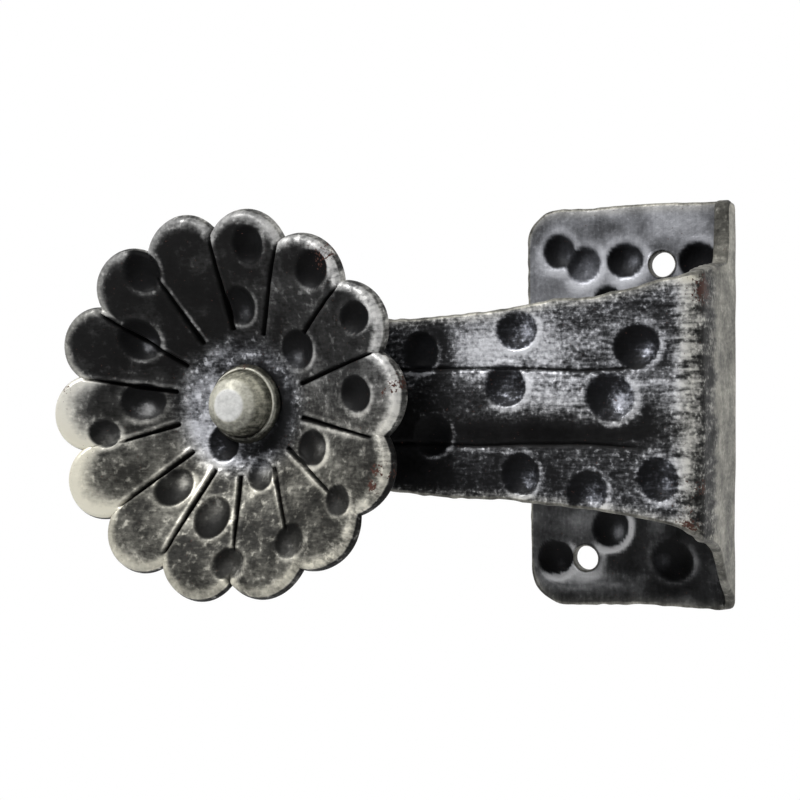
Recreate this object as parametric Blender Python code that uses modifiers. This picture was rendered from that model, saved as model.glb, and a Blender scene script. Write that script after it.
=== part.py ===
"""A hammered iron knob: a folded strap bracket, a petal rosette and one rivet.

Metres, +Z up. The flat back of the strap's plate lies on y = 0 and faces +Y. The side wall
comes forward from the plate's +X edge, and the arm runs from it toward -X in front of the
plate and carries the rosette, which faces -Y.
"""
from math import atan, cos, pi, radians, sin, sqrt

import bmesh
import bpy
from mathutils import Matrix, Vector

MM = 0.001
FULL_TURN = 2 * pi
QUARTER_TURN = pi / 2

# Strap: one sheet folded twice, back plate, side wall, arm
STRAP_THICKNESS = 2.5 * MM
PLATE_WIDTH = 36.0 * MM
PLATE_HEIGHT = 68.0 * MM
PLATE_CORNER_RADIUS = 4.8 * MM
PLATE_EDGE_LEAN = 1.2 * MM
STANDOFF = 30.0 * MM
FOLD_OUTER_RADIUS = 3.5 * MM
ARM_HALF_WIDTH = 14.0 * MM
FLARE_LENGTH = 80.0 * MM
FLARE_POWER = 2.6
FOLD_FULLNESS = 1.8 * MM
FOLD_FULLNESS_LENGTH = 14.0 * MM
WALL_TO_RIVET = 76.8 * MM
ARM_PAST_RIVET = 13.0 * MM
ARM_END_CORNER_RADIUS = 8.0 * MM
STRAP_EDGE_ROUNDING = 0.4 * MM

# The side wall's upper corner is cut away down to a stub along the plate
STUB_DEPTH = 8.5 * MM
NOTCH_HEIGHT_AT_STUB = 23.0 * MM
NOTCH_HEIGHT_AT_ARM = 21.0 * MM

# Screw holes in the plate, placed from the wall's outer face and from the plate's ends
SCREW_HOLE_DIAMETER = 4.2 * MM
TOP_HOLE_FROM_WALL = 12.4 * MM
TOP_HOLE_BELOW_TOP = 10.2 * MM
BOTTOM_HOLE_FROM_WALL = 25.9 * MM
BOTTOM_HOLE_ABOVE_BOTTOM = 7.25 * MM

# Round punch marks in the strap, on the arm's front and on the plate's, as (x, z)
PUNCH_MARK_RADIUS = 3.15 * MM
PUNCH_DEPTH = 1.15 * MM
ARM_MARKS = (
    (-26.9 * MM, 8.5 * MM),
    (-24.3 * MM, -4.5 * MM),
    (-11.0 * MM, 11.3 * MM),
    (-12.8 * MM, 2.6 * MM),
    (-10.5 * MM, -10.5 * MM),
    (0.5 * MM, -13.5 * MM),
    (8.1 * MM, 9.3 * MM),
    (4.2 * MM, 1.3 * MM),
    (11.6 * MM, -11.3 * MM),
)
PLATE_MIDDLE_MARKS = (
    (-11.5 * MM, 3.0 * MM),
    (2.0 * MM, -4.0 * MM),
    (8.5 * MM, 8.0 * MM),
)

# The plate's other marks, as (x, distance below its top) and (x, distance above its bottom)
PLATE_TOP_MARKS = (
    (-12.6 * MM, 7.2 * MM),
    (-8.3 * MM, 9.8 * MM),
    (-0.9 * MM, 9.4 * MM),
    (11.2 * MM, 10.0 * MM),
    (-4.0 * MM, 16.4 * MM),
)
PLATE_BOTTOM_MARKS = (
    (-3.3 * MM, 12.8 * MM),
    (-13.2 * MM, 7.2 * MM),
    (8.0 * MM, 8.2 * MM),
)

# Two lines cut lengthwise into the arm with a chisel
ARM_LINE_HEIGHT = 5.9 * MM
ARM_LINE_WIDTH = 1.3 * MM
ARM_LINE_FROM_WALL = 6.0 * MM

# Rosette: a dished disc whose rim is cut into petals
ROSETTE_THICKNESS = 2.0 * MM
PETALS = 14
FIRST_PETAL_ANGLE = radians(-16.2)
PETAL_TIP_RADIUS = 32.6 * MM
PETAL_NOTCH_DEPTH = 3.1 * MM
PETAL_LENGTHENING = 0.7 * MM
LONGEST_PETAL_ANGLE = radians(225.0)
DISH_FLAT_RADIUS = 9.0 * MM
DISH_DEPTH = 7.7 * MM
DISH_POWER = 1.35
ROSETTE_EDGE_ROUNDING = 0.6 * MM
ROSETTE_PUNCH_MARK_RADIUS = 2.75 * MM
ROSETTE_PUNCH_DEPTH = 0.95 * MM

# Chisel cuts between the petals, clockwise from the first petal: each starts at a radius and
# stops short of the petals' tips
CHISEL_WIDTH = 1.0 * MM
CHISEL_DEPTH = 1.1 * MM
CHISEL_STARTS_AND_STOPS = (
    (12.5 * MM, 4.3 * MM),
    (12.4 * MM, 4.4 * MM),
    (17.7 * MM, 4.3 * MM),
    (12.0 * MM, 4.3 * MM),
    (11.8 * MM, 5.3 * MM),
    (11.4 * MM, 8.7 * MM),
    (12.3 * MM, 9.6 * MM),
    (12.0 * MM, 8.7 * MM),
    (11.9 * MM, 5.9 * MM),
    (11.8 * MM, 6.7 * MM),
    (11.9 * MM, 11.3 * MM),
    (12.0 * MM, 5.6 * MM),
    (11.8 * MM, 4.3 * MM),
    (12.1 * MM, 8.2 * MM),
)

# Punch marks on the rosette, as (radius, degrees clockwise from the top)
ROSETTE_MARKS = (
    (26.6 * MM, 10),
    (27.4 * MM, 37),
    (27.6 * MM, 59),
    (23.8 * MM, 84),
    (25.6 * MM, 125),
    (25.1 * MM, 150),
    (26.0 * MM, 177),
    (23.5 * MM, 258),
    (27.1 * MM, 325),
    (16.5 * MM, 6),
    (14.7 * MM, 52),
    (16.2 * MM, 116),
    (11.6 * MM, 159),
    (19.1 * MM, 191),
    (17.7 * MM, 219),
    (17.1 * MM, 272),
    (19.8 * MM, 303),
)

# Rivet: shank, domed head in front, closing head behind the arm
SHANK_RADIUS = 2.5 * MM
RIVET_HEAD_RADIUS = 6.1 * MM
RIVET_HEAD_HEIGHT = 4.6 * MM
RIVET_HEAD_FLATNESS = 2.4
RIVET_LIP_HEIGHT = 0.9 * MM
RIVET_LIP_STEP = 0.7 * MM
CLOSING_HEAD_RADIUS = 4.6 * MM
CLOSING_HEAD_HEIGHT = 2.0 * MM
SEAT_GAP = 0.3 * MM

# Faces along each form
PLATE_STEPS = 6
WALL_STEPS = 7
ARM_STEPS = 14
STRAP_ROWS = 4
FOLD_STEPS = 6
CORNER_STEPS = 4
PETAL_STEPS = 10
DISH_RINGS = 10
CHISEL_STEPS = 6
ROUND_HOLE_STEPS = 24
STRAP_MARK_STEPS = 14
ROSETTE_MARK_STEPS = 12
BALL_RINGS = 12
DOME_STEPS = 10
CLOSING_HEAD_STEPS = 4
RIVET_STEPS = 32
WELD_DISTANCE = 0.00001

# Cutters reach this far past what they cut
CUTTER_REACH = 4.0 * MM
SHARP_EDGE_ANGLE = radians(60)

WALL_OUTER_X = PLATE_WIDTH / 2
RIVET_X = WALL_OUTER_X - WALL_TO_RIVET
ARM_END_X = RIVET_X - ARM_PAST_RIVET
HOLE_RADIUS = SHANK_RADIUS + SEAT_GAP
PETAL_ANGLE = FULL_TURN / PETALS


def clear_scene():
    for thing in list(bpy.data.objects):
        bpy.data.objects.remove(thing, do_unlink=True)


def make_collection(name):
    collection = bpy.data.collections.new(name)
    bpy.context.scene.collection.children.link(collection)
    return collection


def make_material(name, colour, metallic, roughness):
    material = bpy.data.materials.new(name)
    material.use_nodes = True
    shader = material.node_tree.nodes["Principled BSDF"]
    shader.inputs["Base Color"].default_value = (*colour, 1.0)
    shader.inputs["Metallic"].default_value = metallic
    shader.inputs["Roughness"].default_value = roughness
    return material


def add_object(name, mesh, collection, material=None):
    thing = bpy.data.objects.new(name, mesh)
    collection.objects.link(thing)
    if material:
        mesh.materials.append(material)
    return thing


def mesh_from(bm, name):
    bmesh.ops.recalc_face_normals(bm, faces=bm.faces)
    mesh = bpy.data.meshes.new(name)
    bm.to_mesh(mesh)
    bm.free()
    return mesh


def add_cutter(name, bm, collection, like=None):
    """A cutter takes the place and the turn of the piece that it cuts."""
    cutter = add_object(name, mesh_from(bm, name), collection)
    cutter.hide_render = True
    cutter.display_type = "WIRE"
    if like:
        cutter.location = like.location
        cutter.rotation_euler = like.rotation_euler
    return cutter


def cut(piece, cutter, overlapping=False):
    step = piece.modifiers.new(cutter.name, "BOOLEAN")
    step.operation = "DIFFERENCE"
    step.object = cutter
    step.use_self = overlapping


def grid_surface(columns, rows, place):
    """An open grid; place(column, row) gives the point of each crossing."""
    bm = bmesh.new()
    bmesh.ops.create_grid(bm, x_segments=columns, y_segments=rows, size=1.0)
    for vertex in bm.verts:
        column = round((vertex.co.x + 1) / 2 * columns)
        row = round((vertex.co.y + 1) / 2 * rows)
        vertex.co = place(column, row)
    return bm


def spaced(start, end, steps):
    """Evenly spaced values from start up to, but not including, end."""
    return [start + (end - start) * step / steps for step in range(steps)]


def strap_half_width(reach):
    """Half the strap's width, by how far along the wall and arm it is from the rear fold.

    It narrows by a power law, and is a little fuller just after the fold.
    """
    left = max(0.0, 1 - reach / FLARE_LENGTH)
    fullness = FOLD_FULLNESS * sin(pi * min(1.0, reach / FOLD_FULLNESS_LENGTH))
    return ARM_HALF_WIDTH + (PLATE_HEIGHT / 2 - ARM_HALF_WIDTH) * left ** FLARE_POWER + fullness


def plate_lean(from_edge):
    """The plate's free edge leans out at its top; the lean fades to nothing at the rear fold."""
    span = PLATE_WIDTH - FOLD_OUTER_RADIUS
    return PLATE_EDGE_LEAN / 2 * (1 - from_edge / span)


def strap_stations():
    """(x, y, half width, lean) along the strap's outer face, from the plate's edge to the arm's end.

    The lean is how much further out the sheet is at its upper edge than at mid height.
    """
    radius = FOLD_OUTER_RADIUS
    fold_x = WALL_OUTER_X - radius
    plate_edge_x = -WALL_OUTER_X
    half_height = PLATE_HEIGHT / 2
    stations = []
    for turn in spaced(0, QUARTER_TURN, CORNER_STEPS):
        inset = PLATE_CORNER_RADIUS * (1 - cos(turn))
        rise = PLATE_CORNER_RADIUS * (1 - sin(turn))
        stations.append((plate_edge_x + inset, 0.0, half_height - rise, plate_lean(inset)))
    for x in spaced(plate_edge_x + PLATE_CORNER_RADIUS, fold_x, PLATE_STEPS):
        stations.append((x, 0.0, half_height, plate_lean(x - plate_edge_x)))
    for turn in spaced(0, QUARTER_TURN, FOLD_STEPS):
        y = radius * (cos(turn) - 1)
        stations.append((fold_x + radius * sin(turn), y, strap_half_width(-y), 0.0))
    for y in spaced(-radius, radius - STANDOFF, WALL_STEPS):
        stations.append((WALL_OUTER_X, y, strap_half_width(-y), 0.0))
    for turn in spaced(0, QUARTER_TURN, FOLD_STEPS):
        y = radius - STANDOFF - radius * sin(turn)
        reach = STANDOFF - radius + 2 * radius * turn / QUARTER_TURN
        stations.append((fold_x + radius * cos(turn), y, strap_half_width(reach), 0.0))
    for x in spaced(fold_x, ARM_END_X + ARM_END_CORNER_RADIUS, ARM_STEPS):
        stations.append((x, -STANDOFF, strap_half_width(STANDOFF + WALL_OUTER_X - x), 0.0))
    end_half_width = strap_half_width(STANDOFF + WALL_OUTER_X - ARM_END_X)
    for turn in spaced(QUARTER_TURN, 0, CORNER_STEPS) + [0.0]:
        inset = ARM_END_CORNER_RADIUS * (1 - cos(turn))
        rise = ARM_END_CORNER_RADIUS * (1 - sin(turn))
        stations.append((ARM_END_X + inset, -STANDOFF, end_half_width - rise, 0.0))
    return stations


def ball_radius(mark_radius, depth):
    """The radius of a ball whose cap has this radius and depth."""
    return (mark_radius ** 2 + depth ** 2) / (2 * depth)


def ball_marks(centres, radius, faces_round):
    """Balls in one mesh; each centre is a place and the direction that its pole points to."""
    bm = bmesh.new()
    for centre, pole in centres:
        turn = Vector((0, 0, 1)).rotation_difference(pole).to_matrix().to_4x4()
        bmesh.ops.create_uvsphere(
            bm, u_segments=faces_round, v_segments=BALL_RINGS, radius=radius,
            matrix=Matrix.Translation(centre) @ turn)
    return bm


def box_between(low, high):
    bm = bmesh.new()
    size = [h - l for l, h in zip(low, high)]
    middle = [(h + l) / 2 for l, h in zip(low, high)]
    bmesh.ops.create_cube(
        bm, size=1.0, matrix=Matrix.Translation(middle) @ Matrix.Diagonal((*size, 1)))
    return bm


def wall_notch():
    """The piece cut from the wall's upper corner: its lower face slopes up to the stub."""
    front = FOLD_OUTER_RADIUS - STANDOFF
    bm = box_between(
        (WALL_OUTER_X - STRAP_THICKNESS - CUTTER_REACH, front, NOTCH_HEIGHT_AT_ARM),
        (WALL_OUTER_X + CUTTER_REACH, -STUB_DEPTH, PLATE_HEIGHT / 2 + CUTTER_REACH))
    for vertex in bm.verts:
        is_low = vertex.co.z < PLATE_HEIGHT / 2
        is_at_stub = vertex.co.y > (front - STUB_DEPTH) / 2
        if is_low and is_at_stub:
            vertex.co.z = NOTCH_HEIGHT_AT_STUB
    return bm


def add_round_pin(bm, middle, radius):
    """A pin along Y that passes right through the sheet."""
    length = STRAP_THICKNESS + 2 * CUTTER_REACH
    place = Matrix.Translation(middle) @ Matrix.Rotation(QUARTER_TURN, 4, "X")
    bmesh.ops.create_cone(
        bm, cap_ends=True, segments=ROUND_HOLE_STEPS, radius1=radius, radius2=radius,
        depth=length, matrix=place)


def strap_holes():
    """Pins for the two screw holes in the plate and the rivet's hole in the arm."""
    bm = bmesh.new()
    top = PLATE_HEIGHT / 2 - TOP_HOLE_BELOW_TOP
    bottom = BOTTOM_HOLE_ABOVE_BOTTOM - PLATE_HEIGHT / 2
    for from_wall, z in ((TOP_HOLE_FROM_WALL, top), (BOTTOM_HOLE_FROM_WALL, bottom)):
        x = WALL_OUTER_X - from_wall
        add_round_pin(bm, (x, -STRAP_THICKNESS / 2, z), SCREW_HOLE_DIAMETER / 2)
    add_round_pin(bm, (RIVET_X, STRAP_THICKNESS / 2 - STANDOFF, 0), HOLE_RADIUS)
    return bm


def arm_lines():
    """Two square bars standing on an edge, which cut a V as deep as half its width."""
    bm = bmesh.new()
    start = WALL_OUTER_X - ARM_LINE_FROM_WALL
    length = start - ARM_END_X + ARM_PAST_RIVET
    side = ARM_LINE_WIDTH / sqrt(2)
    for height in (ARM_LINE_HEIGHT, -ARM_LINE_HEIGHT):
        place = Matrix.Translation((start - length / 2, -STANDOFF, height))
        bmesh.ops.create_cube(
            bm, size=1.0,
            matrix=place @ Matrix.Rotation(pi / 4, 4, "X") @ Matrix.Diagonal((length, side, side, 1)))
    return bm


def strap_marks():
    """Balls pressed into the arm's front and the plate's front."""
    forward = Vector((0, -1, 0))
    radius = ball_radius(PUNCH_MARK_RADIUS, PUNCH_DEPTH)
    sunk = radius - PUNCH_DEPTH
    top = PLATE_HEIGHT / 2
    on_plate = list(PLATE_MIDDLE_MARKS)
    on_plate += [(x, top - below) for x, below in PLATE_TOP_MARKS]
    on_plate += [(x, above - top) for x, above in PLATE_BOTTOM_MARKS]
    centres = [(Vector((x, -STANDOFF - sunk, z)), forward) for x, z in ARM_MARKS]
    centres += [(Vector((x, -STRAP_THICKNESS - sunk, z)), forward) for x, z in on_plate]
    return ball_marks(centres, radius, STRAP_MARK_STEPS)


def make_strap(parts, cutters):
    stations = strap_stations()

    def place(column, row):
        x, y, half_width, lean = stations[column]
        height = 2 * row / STRAP_ROWS - 1
        return Vector((x - lean * height, y, half_width * height))

    bm = grid_surface(len(stations) - 1, STRAP_ROWS, place)
    mesh = mesh_from(bm, "bracket_strap")
    if mesh.polygons[0].normal.y < 0:
        mesh.flip_normals()
    iron = make_material("blackened_iron", (0.045, 0.045, 0.047), 0.75, 0.5)
    strap = add_object("bracket_strap", mesh, parts, iron)

    wall = strap.modifiers.new("sheet", "SOLIDIFY")
    wall.thickness = STRAP_THICKNESS
    wall.offset = -1.0
    wall.use_even_offset = True
    rounding = strap.modifiers.new("edges", "BEVEL")
    rounding.width = STRAP_EDGE_ROUNDING
    rounding.segments = 1
    rounding.limit_method = "ANGLE"
    rounding.angle_limit = SHARP_EDGE_ANGLE

    cut(strap, add_cutter("cut_wall_notch", wall_notch(), cutters))
    cut(strap, add_cutter("cut_strap_holes", strap_holes(), cutters))
    cut(strap, add_cutter("cut_arm_lines", arm_lines(), cutters))
    cut(strap, add_cutter("cut_strap_marks", strap_marks(), cutters), overlapping=True)
    return strap


def petal_rim(angle):
    """The rim's radius: each petal is an arc through its tip and its two notches."""
    petal = round((angle - FIRST_PETAL_ANGLE) / PETAL_ANGLE)
    middle = FIRST_PETAL_ANGLE + petal * PETAL_ANGLE
    tip = PETAL_TIP_RADIUS + PETAL_LENGTHENING * cos(middle - LONGEST_PETAL_ANGLE)
    notch = PETAL_TIP_RADIUS - PETAL_NOTCH_DEPTH
    half_chord = notch * sin(PETAL_ANGLE / 2)
    rise = tip - notch * cos(PETAL_ANGLE / 2)
    arc = (half_chord ** 2 + rise ** 2) / (2 * rise)
    centre = tip - arc
    off = angle - middle
    return centre * cos(off) + sqrt(arc ** 2 - (centre * sin(off)) ** 2)


def dish_height(radius):
    """How far the face stands forward of its flat middle: an S-shaped rise, level at the tips."""
    along = max(0.0, radius - DISH_FLAT_RADIUS) / (PETAL_TIP_RADIUS - DISH_FLAT_RADIUS)
    return DISH_DEPTH * sin(QUARTER_TURN * along ** DISH_POWER)


def dish_point(radius, angle):
    """A point of the front face; the angle runs clockwise from the top, seen from the front."""
    height = ROSETTE_THICKNESS + dish_height(radius)
    return Vector((radius * sin(angle), radius * cos(angle), height))


def dish_slope(radius):
    """The angle of the face at a radius, from the derivative of its height."""
    span = PETAL_TIP_RADIUS - DISH_FLAT_RADIUS
    along = max(0.0, radius - DISH_FLAT_RADIUS) / span
    turn_rate = QUARTER_TURN * DISH_POWER * along ** (DISH_POWER - 1) / span
    return atan(DISH_DEPTH * cos(QUARTER_TURN * along ** DISH_POWER) * turn_rate)


def add_chisel_bar(bm, angle, start, end):
    """A V-shaped strip whose sides cross the face half the cut's width to each side, drawn upward."""
    across = Vector((cos(angle), -sin(angle), 0))

    def place(column, row):
        side = row - 1
        point = dish_point(start + (end - start) * column / CHISEL_STEPS, angle)
        point.z += (2 * abs(side) - 1) * CHISEL_DEPTH
        return point + across * side * CHISEL_WIDTH

    strip = grid_surface(CHISEL_STEPS, 2, place)
    drawn = bmesh.ops.extrude_face_region(strip, geom=strip.faces[:])
    top = [item for item in drawn["geom"] if isinstance(item, bmesh.types.BMVert)]
    bmesh.ops.translate(strip, verts=top, vec=(0, 0, CUTTER_REACH))
    bar = bpy.data.meshes.new("chisel_bar")
    strip.to_mesh(bar)
    strip.free()
    bm.from_mesh(bar)
    bpy.data.meshes.remove(bar)


def petal_cuts():
    """One bar between each two petals, V-shaped below, that follows the face at the cut's depth."""
    bm = bmesh.new()
    for petal in range(PETALS):
        start, stop = CHISEL_STARTS_AND_STOPS[petal % len(CHISEL_STARTS_AND_STOPS)]
        angle = FIRST_PETAL_ANGLE + (petal + 0.5) * PETAL_ANGLE
        add_chisel_bar(bm, angle, start, PETAL_TIP_RADIUS - stop)
    return bm


def rosette_marks():
    centres = []
    ball = ball_radius(ROSETTE_PUNCH_MARK_RADIUS, ROSETTE_PUNCH_DEPTH)
    sunk = ball - ROSETTE_PUNCH_DEPTH
    for radius, clockwise in ROSETTE_MARKS:
        angle = radians(clockwise)
        slope = dish_slope(radius)
        normal = Vector((-sin(slope) * sin(angle), -sin(slope) * cos(angle), cos(slope)))
        centres.append((dish_point(radius, angle) + normal * sunk, normal))
    return ball_marks(centres, ball, ROSETTE_MARK_STEPS)


def make_rosette(parts, cutters):
    columns = PETALS * PETAL_STEPS
    start = FIRST_PETAL_ANGLE - PETAL_ANGLE / 2

    def place(column, row):
        angle = start + FULL_TURN * column / columns
        rim = petal_rim(angle)
        return dish_point(HOLE_RADIUS + (rim - HOLE_RADIUS) * row / DISH_RINGS, angle)

    bm = grid_surface(columns, DISH_RINGS, place)
    bmesh.ops.remove_doubles(bm, verts=bm.verts, dist=WELD_DISTANCE)
    mesh = mesh_from(bm, "rosette")
    if mesh.polygons[0].normal.z < 0:
        mesh.flip_normals()
    iron = make_material("rubbed_iron", (0.09, 0.088, 0.085), 0.8, 0.45)
    rosette = add_object("rosette", mesh, parts, iron)
    rosette.location = (RIVET_X, -STANDOFF - SEAT_GAP, 0)
    rosette.rotation_euler = (QUARTER_TURN, 0, 0)

    sheet = rosette.modifiers.new("sheet", "SOLIDIFY")
    sheet.thickness = ROSETTE_THICKNESS
    sheet.offset = -1.0
    sheet.use_even_offset = True
    rounding = rosette.modifiers.new("rim", "BEVEL")
    rounding.width = ROSETTE_EDGE_ROUNDING
    rounding.segments = 1
    rounding.limit_method = "ANGLE"
    rounding.angle_limit = SHARP_EDGE_ANGLE

    cut(rosette, add_cutter("cut_petals", petal_cuts(), cutters, like=rosette))
    cut(rosette, add_cutter("cut_rosette_marks", rosette_marks(), cutters, like=rosette),
        overlapping=True)
    return rosette


def rivet_profile():
    """(radius, height) down the rivet's outside, from the top of its head to its closed end."""
    seat = ROSETTE_THICKNESS + SEAT_GAP
    dome_radius = RIVET_HEAD_RADIUS - RIVET_LIP_STEP
    dome_foot = seat + RIVET_LIP_HEIGHT
    dome_height = RIVET_HEAD_HEIGHT - RIVET_LIP_HEIGHT
    points = []
    for turn in spaced(0, QUARTER_TURN, DOME_STEPS) + [QUARTER_TURN]:
        out = sin(turn)
        rise = (1 - out ** RIVET_HEAD_FLATNESS) ** (1 / RIVET_HEAD_FLATNESS)
        points.append((dome_radius * out, dome_foot + dome_height * rise))
    points.append((RIVET_HEAD_RADIUS, dome_foot))
    points.append((RIVET_HEAD_RADIUS, seat))
    points.append((SHANK_RADIUS, seat))
    closed = -STRAP_THICKNESS - 2 * SEAT_GAP
    points.append((SHANK_RADIUS, closed))
    for turn in spaced(0, QUARTER_TURN, CLOSING_HEAD_STEPS) + [QUARTER_TURN]:
        points.append((CLOSING_HEAD_RADIUS * cos(turn), closed - CLOSING_HEAD_HEIGHT * sin(turn)))
    return points


def make_rivet(parts):
    points = rivet_profile()
    mesh = bpy.data.meshes.new("rivet")
    edges = [(index, index + 1) for index in range(len(points) - 1)]
    mesh.from_pydata([(radius, 0, height) for radius, height in points], edges, [])
    steel = make_material("worn_steel", (0.32, 0.31, 0.28), 0.9, 0.38)
    rivet = add_object("rivet", mesh, parts, steel)
    rivet.location = (RIVET_X, -STANDOFF - SEAT_GAP, 0)
    rivet.rotation_euler = (QUARTER_TURN, 0, 0)
    turning = rivet.modifiers.new("turned", "SCREW")
    turning.axis = "Z"
    turning.steps = RIVET_STEPS
    turning.render_steps = RIVET_STEPS
    turning.use_merge_vertices = True
    turning.merge_threshold = WELD_DISTANCE
    return rivet


def main():
    clear_scene()
    parts = make_collection("forged_strap_knob")
    cutters = make_collection("cutters")
    make_strap(parts, cutters)
    make_rosette(parts, cutters)
    make_rivet(parts)


main()
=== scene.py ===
from math import cos, pi, radians, sin

import bpy
import numpy as np
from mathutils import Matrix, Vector


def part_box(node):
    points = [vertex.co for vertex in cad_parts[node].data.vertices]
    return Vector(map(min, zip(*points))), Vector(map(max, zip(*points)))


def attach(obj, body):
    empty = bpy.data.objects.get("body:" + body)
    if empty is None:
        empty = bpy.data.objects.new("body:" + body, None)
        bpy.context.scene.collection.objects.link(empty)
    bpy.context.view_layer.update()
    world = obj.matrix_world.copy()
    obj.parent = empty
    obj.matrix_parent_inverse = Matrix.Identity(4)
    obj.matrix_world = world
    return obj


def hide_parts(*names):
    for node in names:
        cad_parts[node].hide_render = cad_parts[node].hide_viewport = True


# The finish of a hammered iron knob: a folded strap bracket, a petal rosette and its rivet.
# Lengths in the dictionaries are millimetres; the frame is metres.

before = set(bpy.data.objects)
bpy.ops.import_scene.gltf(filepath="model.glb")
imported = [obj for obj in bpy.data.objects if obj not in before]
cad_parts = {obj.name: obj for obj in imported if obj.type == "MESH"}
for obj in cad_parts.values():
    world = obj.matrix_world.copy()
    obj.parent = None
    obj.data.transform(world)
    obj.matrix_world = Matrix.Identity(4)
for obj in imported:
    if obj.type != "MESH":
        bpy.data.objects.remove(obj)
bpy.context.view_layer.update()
mm = 0.001
halfPi = pi / 2

strapLow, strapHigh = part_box("bracket_strap")
rivetLow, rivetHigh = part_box("rivet")
wallX = strapHigh.x / mm  # outer face of the side wall
plateLeftX = -wallX  # free edge of the back plate
armFrontY = strapLow.y / mm  # face of the arm that carries the rosette
armEndX = strapLow.x / mm
plateHalfHeight = strapHigh.z / mm
rivetX = (rivetLow.x + rivetHigh.x) / 2 / mm

print("frame loaded")


# Small helpers for whole arrays

def ease(value, low, high):
    # 0 below low, 1 above high and an S-shaped rise between them
    part = np.clip((value - low) / (high - low), 0, 1)
    return part * part * (3 - 2 * part)


def bump(distance, width):
    # a bell: 1 at distance 0, falling off over about one width
    return np.exp(-(distance / width) ** 2)


def noise(x, y, z, seed):
    # fixed random values from -1 to 1 at whole-number crossings, eased between the eight nearest
    floors = [np.floor(axis).astype(np.int64) for axis in np.broadcast_arrays(x, y, z)]
    parts = [axis - low for axis, low in zip(np.broadcast_arrays(x, y, z), floors)]
    eased = [part * part * (3 - 2 * part) for part in parts]
    total = 0
    for corner in range(8):
        steps = [(corner >> axis) & 1 for axis in range(3)]
        mixed = seed * 668265263
        weight = 1
        for low, step, part, prime in zip(floors, steps, eased, (73856093, 19349663, 83492791)):
            mixed = mixed ^ ((low + step) * prime)
            weight = weight * (part if step else 1 - part)
        mixed = ((mixed ^ (mixed >> 15)) * 2246822519) & 0xFFFFFFFF
        mixed = ((mixed ^ (mixed >> 13)) * 3266489917) & 0xFFFFFFFF
        total = total + weight * ((mixed >> 8) / 8388607.5 - 1)
    return total


def hammered(points, size, seed):
    # two sizes of noise on the points, the second half as large and half as strong
    x, y, z = (points / size).T
    return noise(x, y, z, seed) + 0.5 * noise(2 * x + 7, 2 * y, 2 * z, seed + 1)


def asColumns(*parts):
    # arrays of one shape as the columns of one list of points
    return np.stack([part.ravel() for part in parts], axis=1)


def turnedTo(points):
    # local rosette points (right, up, forward) put in the frame, at the rivet
    right, up, forward = points.T
    return asColumns(rivetX + right, armFrontY - forward, up)


def addObject(name, data):
    thing = bpy.data.objects.new(name, data)
    bpy.context.scene.collection.objects.link(thing)
    return thing


def buildPiece(name, points, faces, finish, strokes, material):
    # a mesh from arrays, without the points that no face uses. Each row of the finish becomes a float
    # attribute, and the strokes, in mm, become the UV map
    used = np.zeros(len(points), bool)
    for part in faces:
        used[part.ravel()] = True
    renumber = np.cumsum(used) - 1
    mesh = bpy.data.meshes.new(name)
    mesh.from_pydata((points[used] * mm).tolist(), [],
                     [face for part in faces for face in renumber[part].tolist()])
    # the rub row holds the wear together with the painted light and shade of each piece
    rubAndPaintedLight, tint, uneven, rust = finish[:, used]
    for key, value in (("rubAndPaintedLight", rubAndPaintedLight), ("tint", 0.5 + tint / 2), ("uneven", uneven), ("rust", rust)):
        attribute = mesh.attributes.new(key, "FLOAT", "POINT")
        attribute.data.foreach_set("value", value.astype(np.float32))
    corners = np.zeros(len(mesh.loops), np.int32)
    mesh.loops.foreach_get("vertex_index", corners)
    placed = strokes[used][corners].astype(np.float32)
    mesh.uv_layers.new(name="strokes").data.foreach_set("uv", placed.ravel())
    mesh.shade_smooth()
    mesh.materials.append(material)
    print(name, "built:", sum(len(part) * (part.shape[1] - 2) for part in faces), "triangles")
    return addObject(name, mesh)


def gridQuads(index):
    # one quad between each four neighbours of an array of point numbers
    return np.stack([index[:-1, :-1], index[1:, :-1], index[1:, 1:], index[:-1, 1:]], axis=-1).reshape(-1, 4)


def roundedEdge(thickness, radius, steps):
    # (out, depth) across a sheet's edge: a quarter round, a flat and a quarter round
    turn = np.linspace(0, halfPi, steps + 1)
    out = radius * np.sin(turn)
    depth = radius * (1 - np.cos(turn))
    flat = np.linspace(radius, thickness - radius, 4)[1:-1]
    return (np.concatenate([out, np.full(len(flat), radius), out[::-1]]),
            np.concatenate([depth, flat, thickness - depth[::-1]]))


def outwardOf(line):
    # unit directions at right angles to a closed flat line, on the right of its way round
    tangent = np.roll(line, -1, axis=0) - np.roll(line, 1, axis=0)
    tangent /= np.linalg.norm(tangent, axis=1)[:, None]
    return asColumns(tangent[:, 1], -tangent[:, 0])


def closedSheet(front, back, frontQuads, backQuads, rims, thickness, radius):
    # a sheet's two faces and a rounded edge for each rim, given as (point numbers in order, direction out).
    # Returns the points, the quads, the face point that each point belongs to, and how far through the
    # sheet it lies, from 0 on the front to 1 on the back
    count = len(front)
    points = [front, back]
    quads = [frontQuads, backQuads + count]
    source = [np.arange(count), np.arange(count)]
    through = [np.zeros(count), np.ones(count)]
    out, depth = roundedEdge(thickness, radius, 4)
    start = 2 * count
    for rim, direction in rims:
        rings = [front[rim] * (1 - share) + back[rim] * share + direction * ringOut
                 for ringOut, share in zip(out[1:-1], depth[1:-1] / thickness)]
        numbers = start + np.arange(len(rings) * len(rim)).reshape(len(rings), len(rim))
        numbers = np.concatenate([rim[None], numbers, rim[None] + count])
        quads.append(gridQuads(np.concatenate([numbers, numbers[:, :1]], axis=1)))
        points.append(np.concatenate(rings))
        source.append(np.tile(rim, len(rings)))
        through.append(np.repeat(depth[1:-1] / thickness, len(rim)))
        start += len(rings) * len(rim)
    return [np.concatenate(part) for part in (points, quads, source, through)]


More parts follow.
